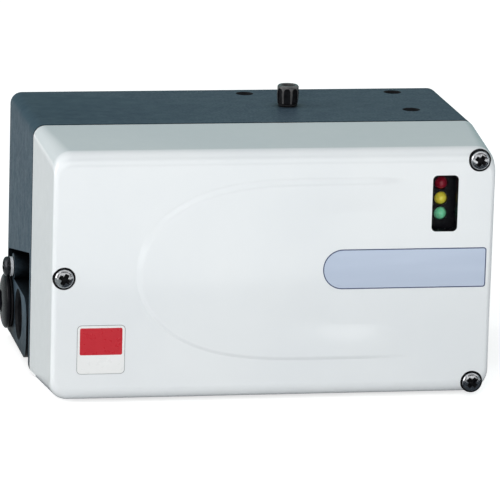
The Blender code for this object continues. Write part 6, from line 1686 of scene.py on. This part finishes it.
def shaft_bearings():
    """Bronze bushes and the lip seal."""
    inner = SHAFT_RADIUS + GAP
    outer = inner + 1.7
    for name, flange in (("shaft_bush_front", 1.6), ("shaft_bush_rear", 0.0)):
        low, high = box(name)
        wide = outer + flange
        profile = steps_from(low.y, (inner, 0.3), (inner + 0.3, 0.0), (wide - 0.2, 0.0), (wide, 0.2))
        if flange:
            profile += steps_from(low.y + 1.1, (wide, -0.2), (wide - 0.2, 0.0), (outer, 0.0))
        profile += steps_from(high.y, (outer, -0.3), (outer - 0.3, 0.0), (inner + 0.3, 0.0), (inner, -0.3))
        dress(turned(profile, "Y", SHAFT, FINE_SIDES), name + "_turned", "bronze", name)
    low, high = box("shaft_seal")
    outer = inner + 4.7
    lip = (low.y + high.y) / 2
    profile = steps_from(low.y, (inner, 0.0), (outer - 0.2, 0.0), (outer, 0.2))
    profile += steps_from(high.y, (outer, -0.3), (outer - 0.3, 0.0), (outer - 1.1, 0.0), (outer - 1.3, -0.4))
    profile += [(outer - 2.0, lip), (inner + 1.5, lip)]
    profile += steps_from(high.y, (inner + 1.0, -0.3), (inner + 0.6, 0.0), (inner, -0.25))
    dress(turned(profile, "Y", SHAFT, FINE_SIDES), "lip_seal", "seal_rubber", "shaft_seal")


def sensor_train():
    """Gear train, position sensor and bracket with soft edges."""
    refined("sector_gear", "sector_moulded", 0.12, body="shaft_group")
    refined("sensor_pinion", "pinion_moulded", 0.10, body="sensor_rotor")
    refined("sensor_shaft", "sensor_spindle", 0.12, body="sensor_rotor")
    refined("position_sensor", "sensor_case", 0.25)
    refined("sensor_bracket", "bracket_plate", 0.12, "dull_steel")


# Camera fitted to the corners of the housing and cover
CAMERA_PLACE = (-367.830, -1908.957, 503.147)
CAMERA_YAW = -0.19350
CAMERA_PITCH = -0.23140
CAMERA_ROLL = -0.02850
CAMERA_FOCAL_PIXELS = 4604.92
PHOTO_PIXELS = 500
SENSOR = 36.0

# Light, in metres
KEY_COLOUR = (1.0, 0.985, 0.965)
AMBIENT_COLOUR = (0.90, 0.985, 1.0, 1.0)
AMBIENT_STRENGTH = 0.36
WHITE = (1.0, 1.0, 1.0, 1.0)
FLOOR_SIZE = 12.0
FLOOR_COLOUR = (0.80, 0.80, 0.80, 1.0)
FLOOR_LIFT = 0.64
LAMP_SIZE = 0.9
LAMP_AIM = (0.0, -0.02, 0.06)
MIDDLE = (0.0, 0.0, 0.06)


def camera():
    """Camera at the photograph's place, aim and focal length."""
    data = bpy.data.cameras.new("camera")
    data.sensor_width = SENSOR
    data.lens = CAMERA_FOCAL_PIXELS / PHOTO_PIXELS * SENSOR
    data.clip_start = 0.05
    data.clip_end = 30.0
    turn = Matrix.Identity(3)
    for angle, axis in ((CAMERA_YAW, "Z"), (CAMERA_PITCH, "X"), (CAMERA_ROLL, "Y")):
        turn = turn @ Matrix.Rotation(angle, 3, axis)
    right, forward, up = (turn @ Vector(axis) for axis in ((1, 0, 0), (0, 1, 0), (0, 0, 1)))
    matrix = Matrix((right, up, -forward)).transposed().to_4x4()
    matrix.translation = Vector(CAMERA_PLACE) * MM
    made = bpy.data.objects.new("camera", data)
    made.matrix_world = matrix
    bpy.context.scene.collection.objects.link(made)
    bpy.context.scene.camera = made


def aimed(made, place, aim, axis):
    """Put an object at a place, with one of its axes towards a point."""
    made.location = place
    made.rotation_euler = (Vector(aim) - Vector(place)).to_track_quat(axis, "Y").to_euler()


def area_lamp(name, place, power, mirrored):
    """Square soft lamp, shown or not in reflections."""
    data = bpy.data.lights.new(name, "AREA")
    data.shape = "SQUARE"
    data.size = LAMP_SIZE
    data.energy = power
    data.color = KEY_COLOUR
    made = bpy.data.objects.new(name, data)
    aimed(made, place, LAMP_AIM, "-Z")
    made.visible_glossy = mirrored
    bpy.context.scene.collection.objects.link(made)


def seen_rays(tree):
    """Output that is 1 for what the camera, metal and glass see."""
    path = add_node(tree, "LightPath")
    seen = path.outputs["Is Camera Ray"]
    for ray in ("Is Glossy Ray", "Is Transmission Ray"):
        seen = add_node(tree, "Math", seen, path.outputs[ray], operation="MAXIMUM").outputs[0]
    return seen


def stage_piece(name, width, height):
    """Flat piece of the stage, 1 mm thick, with an empty material; its sides are in metres."""
    half = (width / 2 / MM, height / 2 / MM)
    made = prism(bar((-half[0], -half[1]), half), "Z", -1.0, 0.0)
    made.name = name
    material = bpy.data.materials.new(name)
    material.use_nodes = True
    material.node_tree.nodes.clear()
    made.data.materials.append(material)
    return made, material.node_tree


def floor():
    """Pale floor that keeps the object's shadow, and looks brighter to the camera, metal and glass."""
    made, tree = stage_piece("floor", FLOOR_SIZE, FLOOR_SIZE)
    made.location.z = CAD_BOX[0][2] - 0.05 * MM
    diffuse = add_node(tree, "BsdfDiffuse", Color=FLOOR_COLOUR)
    strength = add_node(tree, "Math", seen_rays(tree), FLOOR_LIFT, operation="MULTIPLY")
    glow = add_node(tree, "Emission", Strength=strength.outputs[0])
    both = add_node(tree, "AddShader", diffuse.outputs[0], glow.outputs[0])
    add_node(tree, "OutputMaterial", both.outputs[0])


def world():
    """Even pale surroundings: white to the camera, metal and glass, softer as light."""
    made = bpy.data.worlds.new("world")
    bpy.context.scene.world = made
    made.use_nodes = True
    tree = made.node_tree
    background = tree.nodes["Background"]
    seen = seen_rays(tree)
    strength = add_node(tree, "MapRange", Value=seen, To_Min=AMBIENT_STRENGTH, To_Max=1.0)
    tree.links.new(strength.outputs["Result"], background.inputs["Strength"])
    tint = add_node(tree, "Mix", data_type="RGBA", Factor=seen, A=AMBIENT_COLOUR, B=WHITE)
    tree.links.new(tint.outputs["Result"], background.inputs["Color"])


def lights():
    """Key, side and back lamps."""
    area_lamp("key", (-0.45, -1.35, 0.60), 12.5, False)
    area_lamp("side", (-1.5, 0.0, 0.50), 8.5, True)
    area_lamp("back", (0.9, 1.4, 0.6), 5.0, False)


def card(name, centre, aim, width, height, shade):
    """Dark card that only reflections see, so that metal and gloss have something to show."""
    made, tree = stage_piece(name, width, height)
    aimed(made, centre, aim, "Z")
    glow = add_node(tree, "Emission", Color=(*shade, 1.0))
    add_node(tree, "OutputMaterial", glow.outputs[0])
    for ray in ("camera", "diffuse", "transmission", "shadow", "volume_scatter"):
        setattr(made, "visible_" + ray, False)


def cards():
    """Cards behind, in front, beside and above the object, and flat ones on the floor that face up."""
    card("card_behind", (0.0, 1.9, 0.62), (0.0, 0.0, 0.62), 5.0, 1.3, (0.21, 0.33, 0.33))
    card("card_behind_high", (0.0, 1.5, 2.02), MIDDLE, 5.0, 1.65, (0.50, 0.58, 0.58))
    card("card_floor", (-0.585, 0.25, 0.0005), (-0.585, 0.25, 1.0), 0.98, 1.3, (0.44, 0.48, 0.48))
    card("card_floor_right", (0.55, 0.98, 0.0005), (0.55, 0.98, 1.0), 1.1, 1.84, (0.26, 0.34, 0.36))
    card("card_front_floor", (0.0, -0.165, 0.0005), (0.0, -0.165, 1.0), 0.9, 0.25, (0.05, 0.06, 0.07))
    card("card_front", (0.0, -2.6, 0.26), (0.0, 0.0, 0.26), 4.6, 0.5, (0.04, 0.045, 0.05))
    card("card_right", (2.2, 0.3, 0.7), MIDDLE, 1.8, 1.3, (0.30, 0.36, 0.38))
    card("card_left", (-2.2, 0.4, 0.45), MIDDLE, 1.6, 1.0, (0.20, 0.22, 0.23))
    card("card_above", (0.2, -1.5, 2.1), MIDDLE, 2.6, 1.1, (0.03, 0.03, 0.035))
    card("card_front_left", (-2.1, -1.6, 0.9), MIDDLE, 0.8, 2.0, (0.03, 0.03, 0.035))
    card("card_front_right", (1.9, -1.3, 0.8), MIDDLE, 0.9, 1.8, (0.03, 0.03, 0.035))


def write_sizes():
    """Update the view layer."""
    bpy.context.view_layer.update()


bpy.context.scene.view_settings.view_transform = "Standard"
STEPS = (
    camera, paint_cad_nodes, cover_shell, cover_relief, cover_screws, housing, gasket, vent_cap, conduit_plug,
    ground_terminal, status_window, lamp_tower, plates, main_board, board_parts, board_shield, shield_label,
    terminal_strip, setting_switches, gain_switch, push_buttons, air_block, spool_valve, converter, regulator,
    pressure_board, port_screens, shaft_parts, shaft_bearings, sensor_train, floor, world, lights, cards,
    write_sizes,
)
for step in STEPS:
    step()
